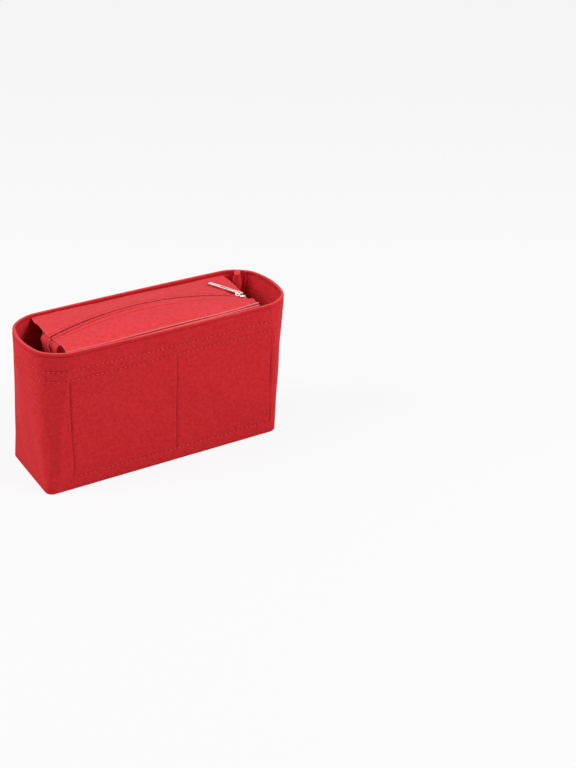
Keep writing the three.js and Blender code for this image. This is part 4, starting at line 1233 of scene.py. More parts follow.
    def section(self, side: Side, share: Points, sink: float, seen: Points | None = None) -> Points:
        """A top panel's section at shares of the zip's length.

        Args:
            side: Front or back panel.
            share: Shares of the zip's length.
            sink: Distance under the panel's face.
            seen: How near the zip's middle the panel's edge reaches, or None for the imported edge.

        Returns:
            The section's points from the zip to the lip, shares by points by three.
        """
        distance = self.line.length * share
        sign = side.value
        edge = self.line.at(distance, sign * self.channel_half, -sink)
        flat = self.line.at(distance, sign * self.flat_half, -sink)
        seam = self.seam(side, share) - UP * sink
        crown = mix(flat, seam, HALF) + UP * self.crown
        outer = mix(flat, seam, self.crown_share) + UP * self.crown * self.crown_share
        points = [edge, flat, mix(flat, crown, HALF), crown, outer, seam, self.lip(side, share) - UP * sink]
        if seen is not None:
            points.insert(0, self.line.at(distance, sign * seen, -sink))
        return np.stack(points, axis=1)

    def spread(self, section: Points, counts: tuple[int, ...]) -> Points:
        """The section with this many faces in each of its stretches."""
        parts = []
        for i, count in enumerate(counts):
            share = (np.arange(count) / count)[None, :, None]
            parts.append(mix(section[:, i, None], section[:, i + 1, None], share))
        parts.append(section[:, -1:])
        return np.concatenate(parts, axis=1)

    def top_grids(self, side: Side) -> tuple[Points, Points, Points, Points]:
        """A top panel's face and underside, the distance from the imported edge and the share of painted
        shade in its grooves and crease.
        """
        share = np.linspace(0, 1, round(self.line.length / self.top_pitch) + 1)
        seen = self.seen_half + self.open_extra * (1 - fade(share, 0.0, self.open_share))
        sections = (self.section(side, share, sink, seen) for sink in (0, self.felt))
        face, under = (
            Felting.relaxed(self.spread(section, self.top_counts), self.top_easing) for section in sections
        )
        steps = np.linalg.norm(np.diff(face, axis=1), axis=-1)
        distance = np.concatenate([np.zeros((len(share), 1)), np.cumsum(steps, axis=1)], axis=1)
        distance = distance - (self.channel_half - seen)[:, None]
        seam_at = np.linalg.norm(face - self.seam(side, share)[:, None], axis=-1)
        inset, half = self.topstitches[side], self.groove_half
        # Painted shade in the topstitch's groove, and below it in the front panel's crease
        pressed = bump_at(distance - inset, half)
        lift = -self.groove * pressed
        swell = self.zip_swell * fade(distance, half / 2, 2 * half)
        lift += swell * (1 - fade(distance, inset - 2 * half, inset))
        lift -= self.seam_dip * bump_at(seam_at, self.seam_dip_half)
        if side is Side.BACK:
            lift += self.back_bead * bump_at(distance + half, self.back_bead_half)
        else:
            fading = 1 - fade(share, *self.crease_shares)[:, None]
            creased = bump_at(distance - self.crease_place, self.crease_half) * fading
            lift -= self.crease * creased
            pressed = np.maximum(pressed, self.crease_shade * creased)
        ends = fade(np.minimum(share, 1 - share), 0, self.ease_share)
        ease = ends[:, None] * fade(distance, *self.ease_reach)
        lift += self.unevenness.at(face[..., 0], face[..., 1]) * ease
        normal = unit(np.cross(np.gradient(face, axis=0), np.gradient(face, axis=1)))
        normal = normal * np.sign(normal[..., 2:3])
        lip_share = np.clip(seam_at / seam_at[:, -1:], 0, 1) * (distance > distance[:, -1:] / 2)
        lift += self.lip_curls[side] * lip_share**self.curl_power
        thin = np.maximum(self.edge_thinning * (1 - fade(distance, 0, half)), self.lip_thinning * lip_share)
        return face + normal * lift[..., None], under + normal * (lift + thin)[..., None], distance, pressed

    def top(self, name: str, side: Side) -> Object:
        """One top panel."""
        face, under, _, pressed = self.top_grids(side)
        return Felting.sheet(name, face, under, self.edge_round, pressed=(pressed, 0), cut_highlight_shares=self.top_cut_highlights)

    def flange(self, name: str) -> Object:
        """The felt strip before the shell that turns out under the front panel's lip."""
        share = np.linspace(0, 1, round(self.line.length / self.top_pitch) + 1)
        rim = self.form.height
        bend = self.seam(Side.FRONT, share) - UP * (self.felt + self.gap)
        bend[:, 1] -= self.flange_start
        foot = bend - UP * self.flange_leg
        outer = bend.copy()
        inset = self.form.inner_inset(rim) + self.flange_gap
        outer[:, 1] = self.form.y_at(Side.FRONT, bend[:, 0], rim, inset)
        left, right = self.flange_drops
        outer[:, 2] = rim - mix(left, right, share)
        thick = self.flange_thickness
        faces = []
        for forward, down in ((0, 0), (thick, thick)):
            shifts = np.array([[0, -forward, 0], [0, -forward, -down], [0, 0, -down]])
            section = np.stack([foot, bend, outer], axis=1) + shifts
            faces.append(Felting.relaxed(self.spread(section, self.flange_counts), self.flange_easing))
        return Felting.sheet(name, faces[0], faces[1], self.edge_round)

    def topstitch(self, name: str, side: Side, stitching: Stitching) -> Object:
        """The row beside the zip on one top panel."""
        face, _, distance, _ = self.top_grids(side)
        inset = self.topstitches[side]
        line = np.stack([
            [np.interp(inset, along, row[:, axis]) for axis in range(3)] for row, along in zip(face, distance)
        ])
        up = self.line.frame(np.linspace(0, self.line.length, len(line)))[3]
        return stitching.row(name, [(line, up)])

    def past_bend(
        self, points: Points, end: float, outward: float, distance: Points, radius: float,
        relief: Points | float = 0.0, width: Points | float = 1.0,
    ) -> Points:
        """Carries an end section round the bend and down.

        Args:
            points: The section at the end, points by three.
            end: Distance along the zip at which the section lies.
            outward: Direction of the bend along the zip, 1 or -1.
            distance: Distances past the end.
            radius: Radius of the bend.
            relief: How much each point stands out, distances by points.
            width: Share of its width that the section keeps at each distance.

        Returns:
            The carried sections, distances by points by three.
        """
        place, run, side, up = (value[0] for value in self.line.frame(np.array([end])))
        local = points - place
        under = -self.felt - self.gap - self.tape_thickness
        arm = radius + local @ up - under + relief
        angle = np.minimum(distance / radius, math.pi / 2)[:, None]
        drop = np.maximum(0, distance - radius * math.pi / 2)[:, None]
        forward = outward * arm * np.sin(angle)
        height = under - radius + arm * np.cos(angle) - drop
        lateral = np.broadcast_to((local @ side) * np.reshape(width, (-1, 1)), height.shape)
        return place + forward[..., None] * run + lateral[..., None] * side + height[..., None] * up

    def tape_face(self, side: Side, sink: float, rib: float) -> Points:
        """One face of a tape from the end of its tail to its right end.

        Args:
            side: Front or back tape.
            sink: Distance under the top panel's face.
            rib: Height of the rib beside the coil, on the tail.

        Returns:
            The points, rows by columns by three.
        """
        share = np.linspace(0, 1, self.tape_stations)
        packed = self.section(side, share, sink)
        inner = self.line.at(self.line.length * share, side.value * self.tape_inner, -sink)
        flap = self.flaps[side]
        reach = self.tape_half - self.flat_half + flap * (1 - fade(share, 0, self.flap_share))
        flat = packed[:, 1]
        edge = flat + unit(packed[:, 3] - flat) * reach[:, None]
        core = self.spread(np.stack([inner, flat, edge], axis=1), self.tape_counts)
        tail = np.linspace(0, self.tail_radius * math.pi / 2 + self.tail_length, self.tail_stations)[:0:-1]
        across = np.linalg.norm(core[0] - self.line.at(np.array([0.0]), 0, -sink), axis=-1)
        ribbed = rib * bump_at(across - self.rib_place, self.rib_half)
        relief = ribbed * fade(tail, 0, self.rib_start)[:, None]
        width = 1 - flap / (self.tape_half + flap) * tail / tail[0]
        before = self.past_bend(core[0], 0.0, -1, tail, self.tail_radius, relief, width)
        ending = np.linspace(0, self.end_radius * math.pi / 2 + self.end_length, self.ending_stations)[1:]
        after = self.past_bend(core[-1], self.line.length, 1, ending, self.end_radius)
        return np.concatenate([before, core, after])

    def tape(self, name: str, side: Side) -> Object:
        """One tape, bent down over both ends of the pouch."""
        top = self.felt + self.gap
        face = self.tape_face(side, top, self.rib)
        under = self.tape_face(side, top + self.tape_thickness, 0)
        across = np.linalg.norm(face - face[:, :1], axis=-1)
        # Painted shade along two lines beside the rib, the whole length of the tape
        rib_shade = sum(bump_at(across - place, self.rib_half / 2) for place in self.rib_shade_places)
        return Felting.sheet(name, face, under, self.tape_thickness / 4, 1, (rib_shade, 0))

    def coil(self, name: str, side: Side) -> Object:
        """One coil, as the row of loops that it shows."""
        pitch = self.coil_pitch
        loop = Bench.ball(self.coil_sides, self.coil_rings)
        places = Bench.places(loop)
        squared = np.sign(places) * np.abs(places) ** self.coil_square
        half = np.array([self.coil_wire, self.coil_width, self.coil_height]) / 2
        Bench.set_places(loop, squared[:, [0, 2, 1]] * half)
        Bench.outwards(loop)
        middle = side.value * (self.coil_closed + self.coil_width / 2)
        above = self.coil_height / 2 - self.felt
        stations = np.arange(pitch, self.line.length - pitch, pitch) + side.value * pitch / 4
        _, run, across, up = self.line.frame(stations)
        past = np.arange(pitch / 2, self.tail_radius * math.pi / 2 + self.tail_length - pitch, pitch)[::-1]
        angle = np.minimum(past / self.tail_radius, math.pi / 2)[:, None]
        _, end_run, end_across, end_up = self.line.frame(np.zeros(len(past)))
        bent_run = end_run * np.cos(angle) + end_up * np.sin(angle)
        bent_up = end_up * np.cos(angle) - end_run * np.sin(angle)
        frames = np.concatenate([
            np.stack([bent_run, end_across, bent_up], axis=1), np.stack([run, across, up], axis=1),
        ])
        start = self.line.at(np.array([0.0]), middle, above)
        bent = self.past_bend(start, 0.0, -1, past, self.tail_radius)[:, 0]
        apart = (self.coil_inner - self.coil_closed) * fade(stations, *self.coil_opening)
        straight = self.line.at(stations, middle + side.value * apart, above)
        return Felting.copies(name, loop, frames, np.concatenate([bent, straight]))

    def profile(self, inset: float, share: float) -> Points:
        """The shell's section at an inset from its outer face, from the front seam to the back seam."""
        radius = self.foot_radius - inset
        foot = self.foot + inset
        sink = self.felt + self.shell_top_gap
        front = float(self.seam(Side.FRONT, np.array([share]))[0, 2]) - sink
        back = self.back - inset
        points = [[self.front_top + inset, front], [self.front_middle + inset, self.pocket_top]]
        turn = np.linspace(0, math.pi / 2, self.foot_steps)
        for angle in turn:
            y = self.front_foot + inset + radius * (1 - math.cos(angle))
            points.append([y, foot + radius * (1 - math.sin(angle))])
        for angle in turn:
            y = back - radius * (1 - math.sin(angle))
            points.append([y, foot + radius * (1 - math.cos(angle))])
        points += [[back, self.pocket_top], [back, self.form.height - self.back_seam_drop - sink]]
        return np.array(points)

    def left_end(self, z: Points) -> Points:
        """x of the shell's left end, which is drawn in under the zip's tail."""
        rise = (z - self.foot) / (self.form.height - self.foot)
        return self.left + self.end_overhang + self.end_draw * rise**2

    def right_end(self, y: Points) -> Points:
        """x of the shell's right end, which reaches further at the back."""
        share = (y - self.front_top) / (self.back - self.front_top)
        return mix(self.right_front, self.right_back, share) - self.end_overhang

    def shell_face(self, inset: float) -> Points:
        """One face of the shell."""
        rows = []
        for share in (0.0, 1.0):
            profile = self.profile(inset, share)
            length = Felting.lengths(np.column_stack([profile, np.zeros(len(profile))]))
            even = np.linspace(0, length[-1], self.shell_stations)
            stations = np.unique(np.concatenate([length, even]))
            if not rows:
                shares = stations / stations[-1]
            y, z = (np.interp(shares * length[-1], length, profile[:, axis]) for axis in (0, 1))
            x = self.left_end(z) if share == 0 else self.right_end(y)
            rows.append(stacked(x, y, z))
        along = np.linspace(0, 1, self.shell_columns)[:, None, None]
        return mix(rows[0][None], rows[1][None], along)

    def shell(self) -> Object:
        """The strip of felt down the back, under the base and up the front."""
        outer, inner = self.shell_face(0), self.shell_face(self.felt)
        return Felting.sheet("pouch_shell_felt", outer, inner, self.edge_round)

    def end_panel(self, name: str, right: bool) -> Object:
        """One end of the pouch, drawn in between its sides like a bellows."""
        profile = self.profile(self.felt + self.gap, float(right))
        profile[[0, -1], 1] -= self.end_drop
        half = len(profile) // 2
        share = np.linspace(0, 1, self.end_rows)
        edges = []
        for part in (profile[:half][::-1], profile[half:]):
            length = Felting.lengths(part)
            stations = share * length[-1]
            edges.append(np.stack([np.interp(stations, length, values) for values in part.T], axis=-1))
        across = np.linspace(0, 1, self.end_columns)
        places = mix(edges[0][:, None], edges[1][:, None], across[None, :, None])
        inner = np.clip((across - self.end_margin) / (1 - 2 * self.end_margin), 0, 1)
        risen = np.clip((share - self.end_margin) / (1 - self.end_margin), 0, 1)
        fullness = self.end_fullness
        sunk = self.end_hollows[right] * np.sin(math.pi * inner) ** fullness * risen[:, None] ** fullness
        y, z = places[..., 0], places[..., 1]
        faces = []
        for depth in (sunk, sunk + self.felt):
            x = self.right_end(y) - depth if right else self.left_end(z) + depth
            faces.append(stacked(x, y, z))
        return Felting.sheet(name, faces[0], faces[1], self.edge_round)

    def end_row(self, name: str, right: bool, stitching: Stitching) -> Object:
        """The row on an end of the pouch, down one side, along its foot and up the other."""
        inset = self.felt + self.gap + self.stitch_inset
        profile = self.profile(inset, float(right))
        profile[[0, -1], 1] -= self.stitch_inset
        y, z = profile.T
        x = self.right_end(y) if right else self.left_end(z)
        out = np.broadcast_to([1.0 if right else -1.0, 0, 0], (len(y), 3))
        return stitching.row(name, [(stacked(x, y, z), out)])

    def edge_row(self, name: str, side: Side, stitching: Stitching) -> Object:
        """The row under a lip that joins a top panel to the shell."""
        share = np.linspace(0, 1, self.edge_points)
        line = self.seam(side, share) - UP * (self.felt + self.gap + stitching.width)
        end = float(self.right_end(np.array(self.front_top if side is Side.FRONT else self.back)))
        line[:, 0] = mix(self.left_end(line[0, 2]), end, share)
        out = np.broadcast_to([0, side.value, 0], line.shape)
        return stitching.row(name, [(line, out)])

    def build(self, finishes: Finishes) -> None:
        """Makes and dresses every piece of the pouch."""
        fitted(self.shell(), "pouch", Slot.POUCH, finishes.pouch, "pouch_shell", held=Held.FOLDED)
        flange = self.flange("pouch_front_flange_felt")
        fitted(flange, "pouch", Slot.POUCH, finishes.pouch, held=Held.STRETCHED)
        for word, right in (("left", False), ("right", True)):
            panel = self.end_panel(f"pouch_{word}_end_felt", right)
            node = f"pouch_{word}_gusset"
            # The pouch's end panels take the bin's felt colour, without the pouch felt's painted sheen
            fitted(panel, "pouch", Slot.POUCH, finishes.pocket, node, held=Held.FOLDED)
            row = self.end_row(f"pouch_{word}_end_stitches", right, PLAIN)
            fitted(row, "pouch", Slot.THREAD, finishes.thread, f"{node}_stitch")
        for side in Side:
            word = side.word
            panel = self.top(f"pouch_top_{word}_felt", side)
            fitted(panel, "pouch", Slot.POUCH, finishes.pouch, f"pouch_top_{word}", held=Held.STRETCHED)
            row = self.topstitch(f"zip_{word}_topstitches", side, FINE)
            fitted(row, "pouch", Slot.THREAD, finishes.pouch_thread, f"zip_{word}_topstitch")
            tape = self.tape(f"zip_{word}_tape", side)
            fitted(tape, "pouch", Slot.TAPE, finishes.tape, f"zip_tape_{word}", held=Held.STRETCHED)
            coil = self.coil(f"zip_{word}_coil", side)
            fitted(coil, "pouch", Slot.COIL, finishes.coil, f"zip_coil_{word}")
            row = self.edge_row(f"pouch_{word}_edge_stitches", side, PLAIN)
            fitted(row, "pouch", Slot.THREAD, finishes.thread, f"pouch_{word}_edge_stitch")


@dataclass
class ZipPull:
    """The zip's stops, its slider, the link through the slider and the tab."""

    stop_sink: float = 0.0011
    fine_round: float = 0.00012
    link_round: float = 0.00024
    broad_round: float = 0.00025
    fine_steps: int = 2
    broad_steps: int = 3
    sharp: float = math.radians(30)

    def build(self, finishes: Finishes) -> None:
        """Makes and dresses the stops, the slider, the link and the tab."""
        for node, slot, finish in (
            ("zip_bottom_stop", Slot.COIL, finishes.coil),
            ("zip_top_stop_front", Slot.NICKEL, finishes.nickel),
            ("zip_top_stop_back", Slot.NICKEL, finishes.nickel),
        ):
            piece = Felting.of_node(node, f"{node}_piece", self.fine_round, self.fine_steps, self.sharp)
            if slot is Slot.COIL:
                Bench.set_places(piece, Bench.places(piece) - UP * self.stop_sink)
            fitted(piece, "pouch", slot, finish, node)
        for node, body, edge in (
            ("zip_slider", "slider", self.broad_round),
            ("pull_link", "link", self.link_round),
            ("pull_tab", "tab", self.broad_round),
        ):
            piece = Felting.of_node(node, f"{node}_metal", edge, self.broad_steps, self.sharp)
            fitted(piece, body, Slot.NICKEL, finishes.nickel, node)


SCREEN_LEVELS = 255
SCREEN_FOOT, SCREEN_SLOPE = 0.04045, 12.92
SCREEN_SHIFT, SCREEN_POWER = 0.055, 2.4


def linear(*levels: float) -> Colour:
    """A screen's red, green and blue from 0 to 255, as light."""
    shares = [level / SCREEN_LEVELS for level in levels]
    return tuple(
        s / SCREEN_SLOPE if s <= SCREEN_FOOT else ((s + SCREEN_SHIFT) / (1 + SCREEN_SHIFT)) ** SCREEN_POWER
        for s in shares
    )


class Wiring:
    """Adds and links nodes in one tree."""

    mixed_colours = (6, 7)  # a Mix node's two colours among its inputs
    mix_result = 2

    def __init__(self, tree: NodeTree) -> None:
        """Works on this tree."""
        self.tree = tree

    def add(self, kind: str, **settings: object) -> Node:
        """A new node, with settings by property name or, for its inputs, by a dictionary."""
        node = self.tree.nodes.new(kind)
        inputs = settings.pop("inputs", {})
        for name, value in settings.items():
            setattr(node, name, value)
        for name, value in inputs.items():
            self.feed(node, name, value)
        return node

    def feed(self, node: Node, name: str | int, value: object) -> None:
        """Sets an input, or links it where the value is a socket."""
        if isinstance(value, NodeSocket):
            self.tree.links.new(value, node.inputs[name])
        else:
            node.inputs[name].default_value = value

    def sum(self, operation: str, *values: object) -> NodeSocket:
        """A Math node's result."""
        node = self.add("ShaderNodeMath", operation=operation)
        for i, value in enumerate(values):
            self.feed(node, i, value)
        return node.outputs[0]

    def noise(self, place: NodeSocket, scale: float, detail: float) -> NodeSocket:
        """A noise texture's value."""
        return self.add(
            "ShaderNodeTexNoise", inputs={"Vector": place, "Scale": scale, "Detail": detail}
        ).outputs["Fac"]

    def blend(self, share: object, first: object, second: object) -> NodeSocket:
        """A mix of two colours."""
        node = self.add("ShaderNodeMix", data_type="RGBA", inputs={0: share})
        for i, colour in zip(self.mixed_colours, (first, second)):
            self.feed(node, i, colour if isinstance(colour, NodeSocket) else (*colour, 1))
        return node.outputs[self.mix_result]

    def wave(self, turns: NodeSocket) -> NodeSocket:
        """A sine wave of these turns, from 0 to 1."""
        turned = self.sum("MULTIPLY", turns, math.tau)
        return self.sum("MULTIPLY_ADD", self.sum("SINE", turned), HALF, HALF)

    def place(self, kind: str, output: str) -> NodeSocket:
        """A place on the piece, from a node of this kind."""
        return self.add(kind).outputs[output]

    def painted(self, attribute: str) -> NodeSocket:
        """A share that the mesh holds at each point."""
        return self.add("ShaderNodeAttribute", attribute_name=attribute).outputs["Fac"]

    def group(self, tree: NodeTree, **values: float) -> bpy.types.bpy_prop_collection:
        """The outputs of a node group with these values."""
        return self.add("ShaderNodeGroup", node_tree=tree, inputs=values).outputs


class Shading(Wiring):
    """A new material and the wiring of its shader."""

    def __init__(self, name: str) -> None:
        """Makes the material."""
        self.material = bpy.data.materials.new(name)
        self.material.use_nodes = True
        super().__init__(self.material.node_tree)
        self.shader = self.tree.nodes["Principled BSDF"]

    def surface(self, colour: object, roughness: object, specular: float = HALF) -> None:
        """Sets the shader's colour, its roughness and how much it mirrors."""
        self.feed(self.shader, "Base Color", colour)
        self.feed(self.shader, "Roughness", roughness)
        self.feed(self.shader, "Specular IOR Level", specular)

    def bump(self, height: NodeSocket, strength: float, distance: float) -> None:
        """Raises the surface by a height."""
        inputs = {"Height": height, "Strength": strength, "Distance": distance}
        bump = self.add("ShaderNodeBump", inputs=inputs)
        self.feed(self.shader, "Normal", bump.outputs[0])


class Groups:
    """Shader node groups, each built once. Scales are in waves a metre."""

    fibre_scale, fibre_detail, fibre_share = 900.0, 3.0, 0.55
    clump_scale, clump_detail, clump_share = 260.0, 2.0, 0.39
    tone_scale, tone_detail, tone_share = 22.0, 2.0, 0.06
    tone_range = (0.34, 0.66)
    warp_scale, warp_detail, warp_reach = 420.0, 2.0, 0.0012
    yarns = 2200.0
    yarn_shade, gap_shade = 0.6, 0.2
    scratch_scale, scratch_detail = 700.0, 4.0
    scratch_stretch = (0.12, 1.0, 1.0)
    spot_scale, spot_detail = 160.0, 2.0

    @classmethod
    def start(cls, name: str, inputs: dict[str, float], outputs: list[str]) -> tuple[Wiring, dict, dict]:
        """A new group with float inputs and outputs.

        Args:
            name: Name of the group.
            inputs: Each input's name and value.
            outputs: Each output's name.

        Returns:
            The wiring, the input sockets by name and the output sockets by name.
        """
        tree = bpy.data.node_groups.new(name, "ShaderNodeTree")
        for label, value in inputs.items():
            socket = tree.interface.new_socket(label, in_out="INPUT", socket_type="NodeSocketFloat")
            socket.default_value = value
        for label in outputs:
            tree.interface.new_socket(label, in_out="OUTPUT", socket_type="NodeSocketFloat")
        wiring = Wiring(tree)
        entry, leave = wiring.add("NodeGroupInput"), wiring.add("NodeGroupOutput")
        return wiring, entry.outputs, leave.inputs

    @classmethod
    @cache
    def fibres(cls) -> NodeTree:
        """Pressed felt: matted fibres, clumps and slow changes of tone, with their height."""
        inputs = {
            "Fibre scale": cls.fibre_scale, "Clump scale": cls.clump_scale, "Tone scale": cls.tone_scale,
            "Seed": 0.0,
        }
        wiring, entry, leave = cls.start("Felt fibres", inputs, ["Tone", "Height"])
        place = wiring.place("ShaderNodeTexCoord", "Object")
        shifted = wiring.add("ShaderNodeVectorMath", operation="ADD", inputs={0: place, 1: entry["Seed"]})
        moved = shifted.outputs[0]
        warp = wiring.noise(moved, cls.warp_scale, cls.warp_detail)
        reach = (cls.warp_reach,) * 3
        inputs = {0: warp, 1: reach, 2: moved}
        pulled = wiring.add("ShaderNodeVectorMath", operation="MULTIPLY_ADD", inputs=inputs)
        fibre = wiring.noise(pulled.outputs[0], entry["Fibre scale"], cls.fibre_detail)
        clump = wiring.noise(moved, entry["Clump scale"], cls.clump_detail)
        tone = wiring.noise(moved, entry["Tone scale"], cls.tone_detail)
        fine = wiring.sum("MULTIPLY", fibre, cls.fibre_share)
        height = wiring.sum("MULTIPLY_ADD", clump, cls.clump_share, fine)
        total = wiring.sum("MULTIPLY_ADD", tone, cls.tone_share, height)
        low, high = cls.tone_range
        spread = wiring.add("ShaderNodeMapRange", inputs={"Value": total, "From Min": low, "From Max": high})
        wiring.tree.links.new(spread.outputs[0], leave["Tone"])
        wiring.tree.links.new(height, leave["Height"])
        return wiring.tree

    @classmethod
    @cache
    def weave(cls) -> NodeTree:
        """A plain weave on the piece's own lengths: its height and the shade between the yarns."""
        wiring, entry, leave = cls.start("Weave", {"Yarns": cls.yarns}, ["Height", "Shade"])
        parts = wiring.add("ShaderNodeSeparateXYZ", inputs={0: wiring.place("ShaderNodeUVMap", "UV")})
        waves = []
        for axis in (0, 1):
            turned = wiring.sum("MULTIPLY", parts.outputs[axis], entry["Yarns"])
            waves.append(wiring.sum("SINE", wiring.sum("MULTIPLY", turned, math.pi)))
        lifted = wiring.sum("MULTIPLY_ADD", wiring.sum("MULTIPLY", *waves), HALF, HALF)
        shade = wiring.sum("MULTIPLY_ADD", lifted, cls.yarn_shade, cls.gap_shade)
        wiring.tree.links.new(lifted, leave["Height"])
        wiring.tree.links.new(shade, leave["Shade"])
        return wiring.tree

    @classmethod
    @cache
    def wear(cls) -> NodeTree:
        """Fine scratches and dull spots on plated metal."""
        inputs = {"Scratch scale": cls.scratch_scale}
        wiring, entry, leave = cls.start("Plating wear", inputs, ["Dullness", "Height"])
        place = wiring.place("ShaderNodeTexCoord", "Object")
        stretch = wiring.add("ShaderNodeMapping", inputs={"Vector": place, "Scale": cls.scratch_stretch})
        line = wiring.noise(stretch.outputs[0], entry["Scratch scale"], cls.scratch_detail)
        spot = wiring.noise(place, cls.spot_scale, cls.spot_detail)
        wiring.tree.links.new(wiring.sum("MULTIPLY", line, spot), leave["Dullness"])
        wiring.tree.links.new(line, leave["Height"])
        return wiring.tree


@dataclass(frozen=True)
class Finish:
    """What every finish has: a name, a way to wire its shader and a way to make its material."""

    name: str

    def wire(self, wiring: Shading) -> None:
        """Wires the shader."""
        raise NotImplementedError

    def material(self) -> Material:
        """Makes the material."""
        wiring = Shading(self.name)
        self.wire(wiring)
        return wiring.material


@dataclass(frozen=True)
class Felt(Finish):
    """Pressed felt."""

    deep: Colour
    pale: Colour
    # Colour of the painted shade in grooves and creases
    pressed: Colour
    # Colour of the cut edges: their own lighter tone with a painted highlight
    cut: Colour
    cut_highlight_share: float = 0.5
    cut_highlight_power: float = 6.0
    groove_shade_share: float = 0.45
    seed: float = 0.0
    roughness: float = 0.95
    specular: float = 0.12
    sheen: float = 0.05
    sheen_roughness: float = 0.45
    sheen_tint: Colour = (1.0, 0.75, 0.75)
    bump: float = 0.45
    bump_distance: float = 0.0004

    def wire(self, wiring: Shading) -> None:
        """Wires the shader."""
        fibres = wiring.group(Groups.fibres(), Seed=self.seed)
        colour = wiring.blend(fibres["Tone"], self.deep, self.pale)
        # Painted shade: the felt turns darker where the mesh marks a groove or a crease
        groove_shade_weight = wiring.sum("MULTIPLY", wiring.painted(Felting.groove_shade_attribute), self.groove_shade_share)
        drawn = wiring.blend(groove_shade_weight, colour, self.pressed)
        # Cut edges: their own lighter tone with a painted highlight
        edge = wiring.sum("POWER", wiring.painted(Felting.cut_highlight_attribute), self.cut_highlight_power)
        colour = wiring.blend(wiring.sum("MULTIPLY", edge, self.cut_highlight_share), drawn, self.cut)
        wiring.surface(colour, self.roughness, self.specular)
        wiring.bump(fibres["Height"], self.bump, self.bump_distance)
        wiring.feed(wiring.shader, "Sheen Weight", self.sheen)
        wiring.feed(wiring.shader, "Sheen Roughness", self.sheen_roughness)
        wiring.feed(wiring.shader, "Sheen Tint", (*self.sheen_tint, 1))


@dataclass(frozen=True)
class Thread(Finish):
    """Twisted sewing thread."""

    deep: Colour
    pale: Colour
    strands: float = 2.0
    twists: float = 5.0
    roughness: float = 0.7
    specular: float = 0.2
    bump: float = 0.6
    bump_distance: float = 0.0002

    def wire(self, wiring: Shading) -> None:
        """Wires the shader."""
        parts = wiring.add("ShaderNodeSeparateXYZ", inputs={0: wiring.place("ShaderNodeUVMap", "UV")})
        along = wiring.sum("MULTIPLY", parts.outputs[1], self.twists)
        strand = wiring.wave(wiring.sum("MULTIPLY_ADD", parts.outputs[0], self.strands, along))
        wiring.surface(wiring.blend(strand, self.deep, self.pale), self.roughness, self.specular)
        wiring.bump(strand, self.bump, self.bump_distance)


@dataclass(frozen=True)
class Tape(Finish):
    """Woven zip tape."""

    deep: Colour
    pale: Colour
    # Colour of the painted shade beside the rib
    rib_shade: Colour
    roughness: float = 0.85
    specular: float = 0.15
    bump: float = 0.5
    bump_distance: float = 0.0002

    def wire(self, wiring: Shading) -> None:
        """Wires the shader."""
        weave = wiring.group(Groups.weave())
        woven = wiring.blend(weave["Shade"], self.deep, self.pale)
        colour = wiring.blend(wiring.painted(Felting.groove_shade_attribute), woven, self.rib_shade)
        wiring.surface(colour, self.roughness, self.specular)
        wiring.bump(weave["Height"], self.bump, self.bump_distance)


@dataclass(frozen=True)
class Nylon(Finish):
    """Dyed nylon of the zip's coils."""

    deep: Colour
    pale: Colour
    roughness: float = 0.55
    specular: float = 0.25
    grain_scale: float = 900.0
    grain_detail: float = 2.0

    def wire(self, wiring: Shading) -> None:
        """Wires the shader."""
        place = wiring.place("ShaderNodeTexCoord", "Object")
        grain = wiring.noise(place, self.grain_scale, self.grain_detail)
        wiring.surface(wiring.blend(grain, self.deep, self.pale), self.roughness, self.specular)


@dataclass(frozen=True)
class Nickel(Finish):
    """Nickel plated zinc."""

    bright: Colour
    dull: Colour
    roughness: float = 0.12
    dull_roughness: float = 0.13
    bump: float = 0.08
    bump_distance: float = 0.0001

    def wire(self, wiring: Shading) -> None:
        """Wires the shader."""
        wear = wiring.group(Groups.wear())
        rough = wiring.sum("MULTIPLY_ADD", wear["Dullness"], self.dull_roughness, self.roughness)
        wiring.surface(wiring.blend(wear["Dullness"], self.bright, self.dull), rough)
        wiring.bump(wear["Height"], self.bump, self.bump_distance)
        wiring.feed(wiring.shader, "Metallic", 1.0)


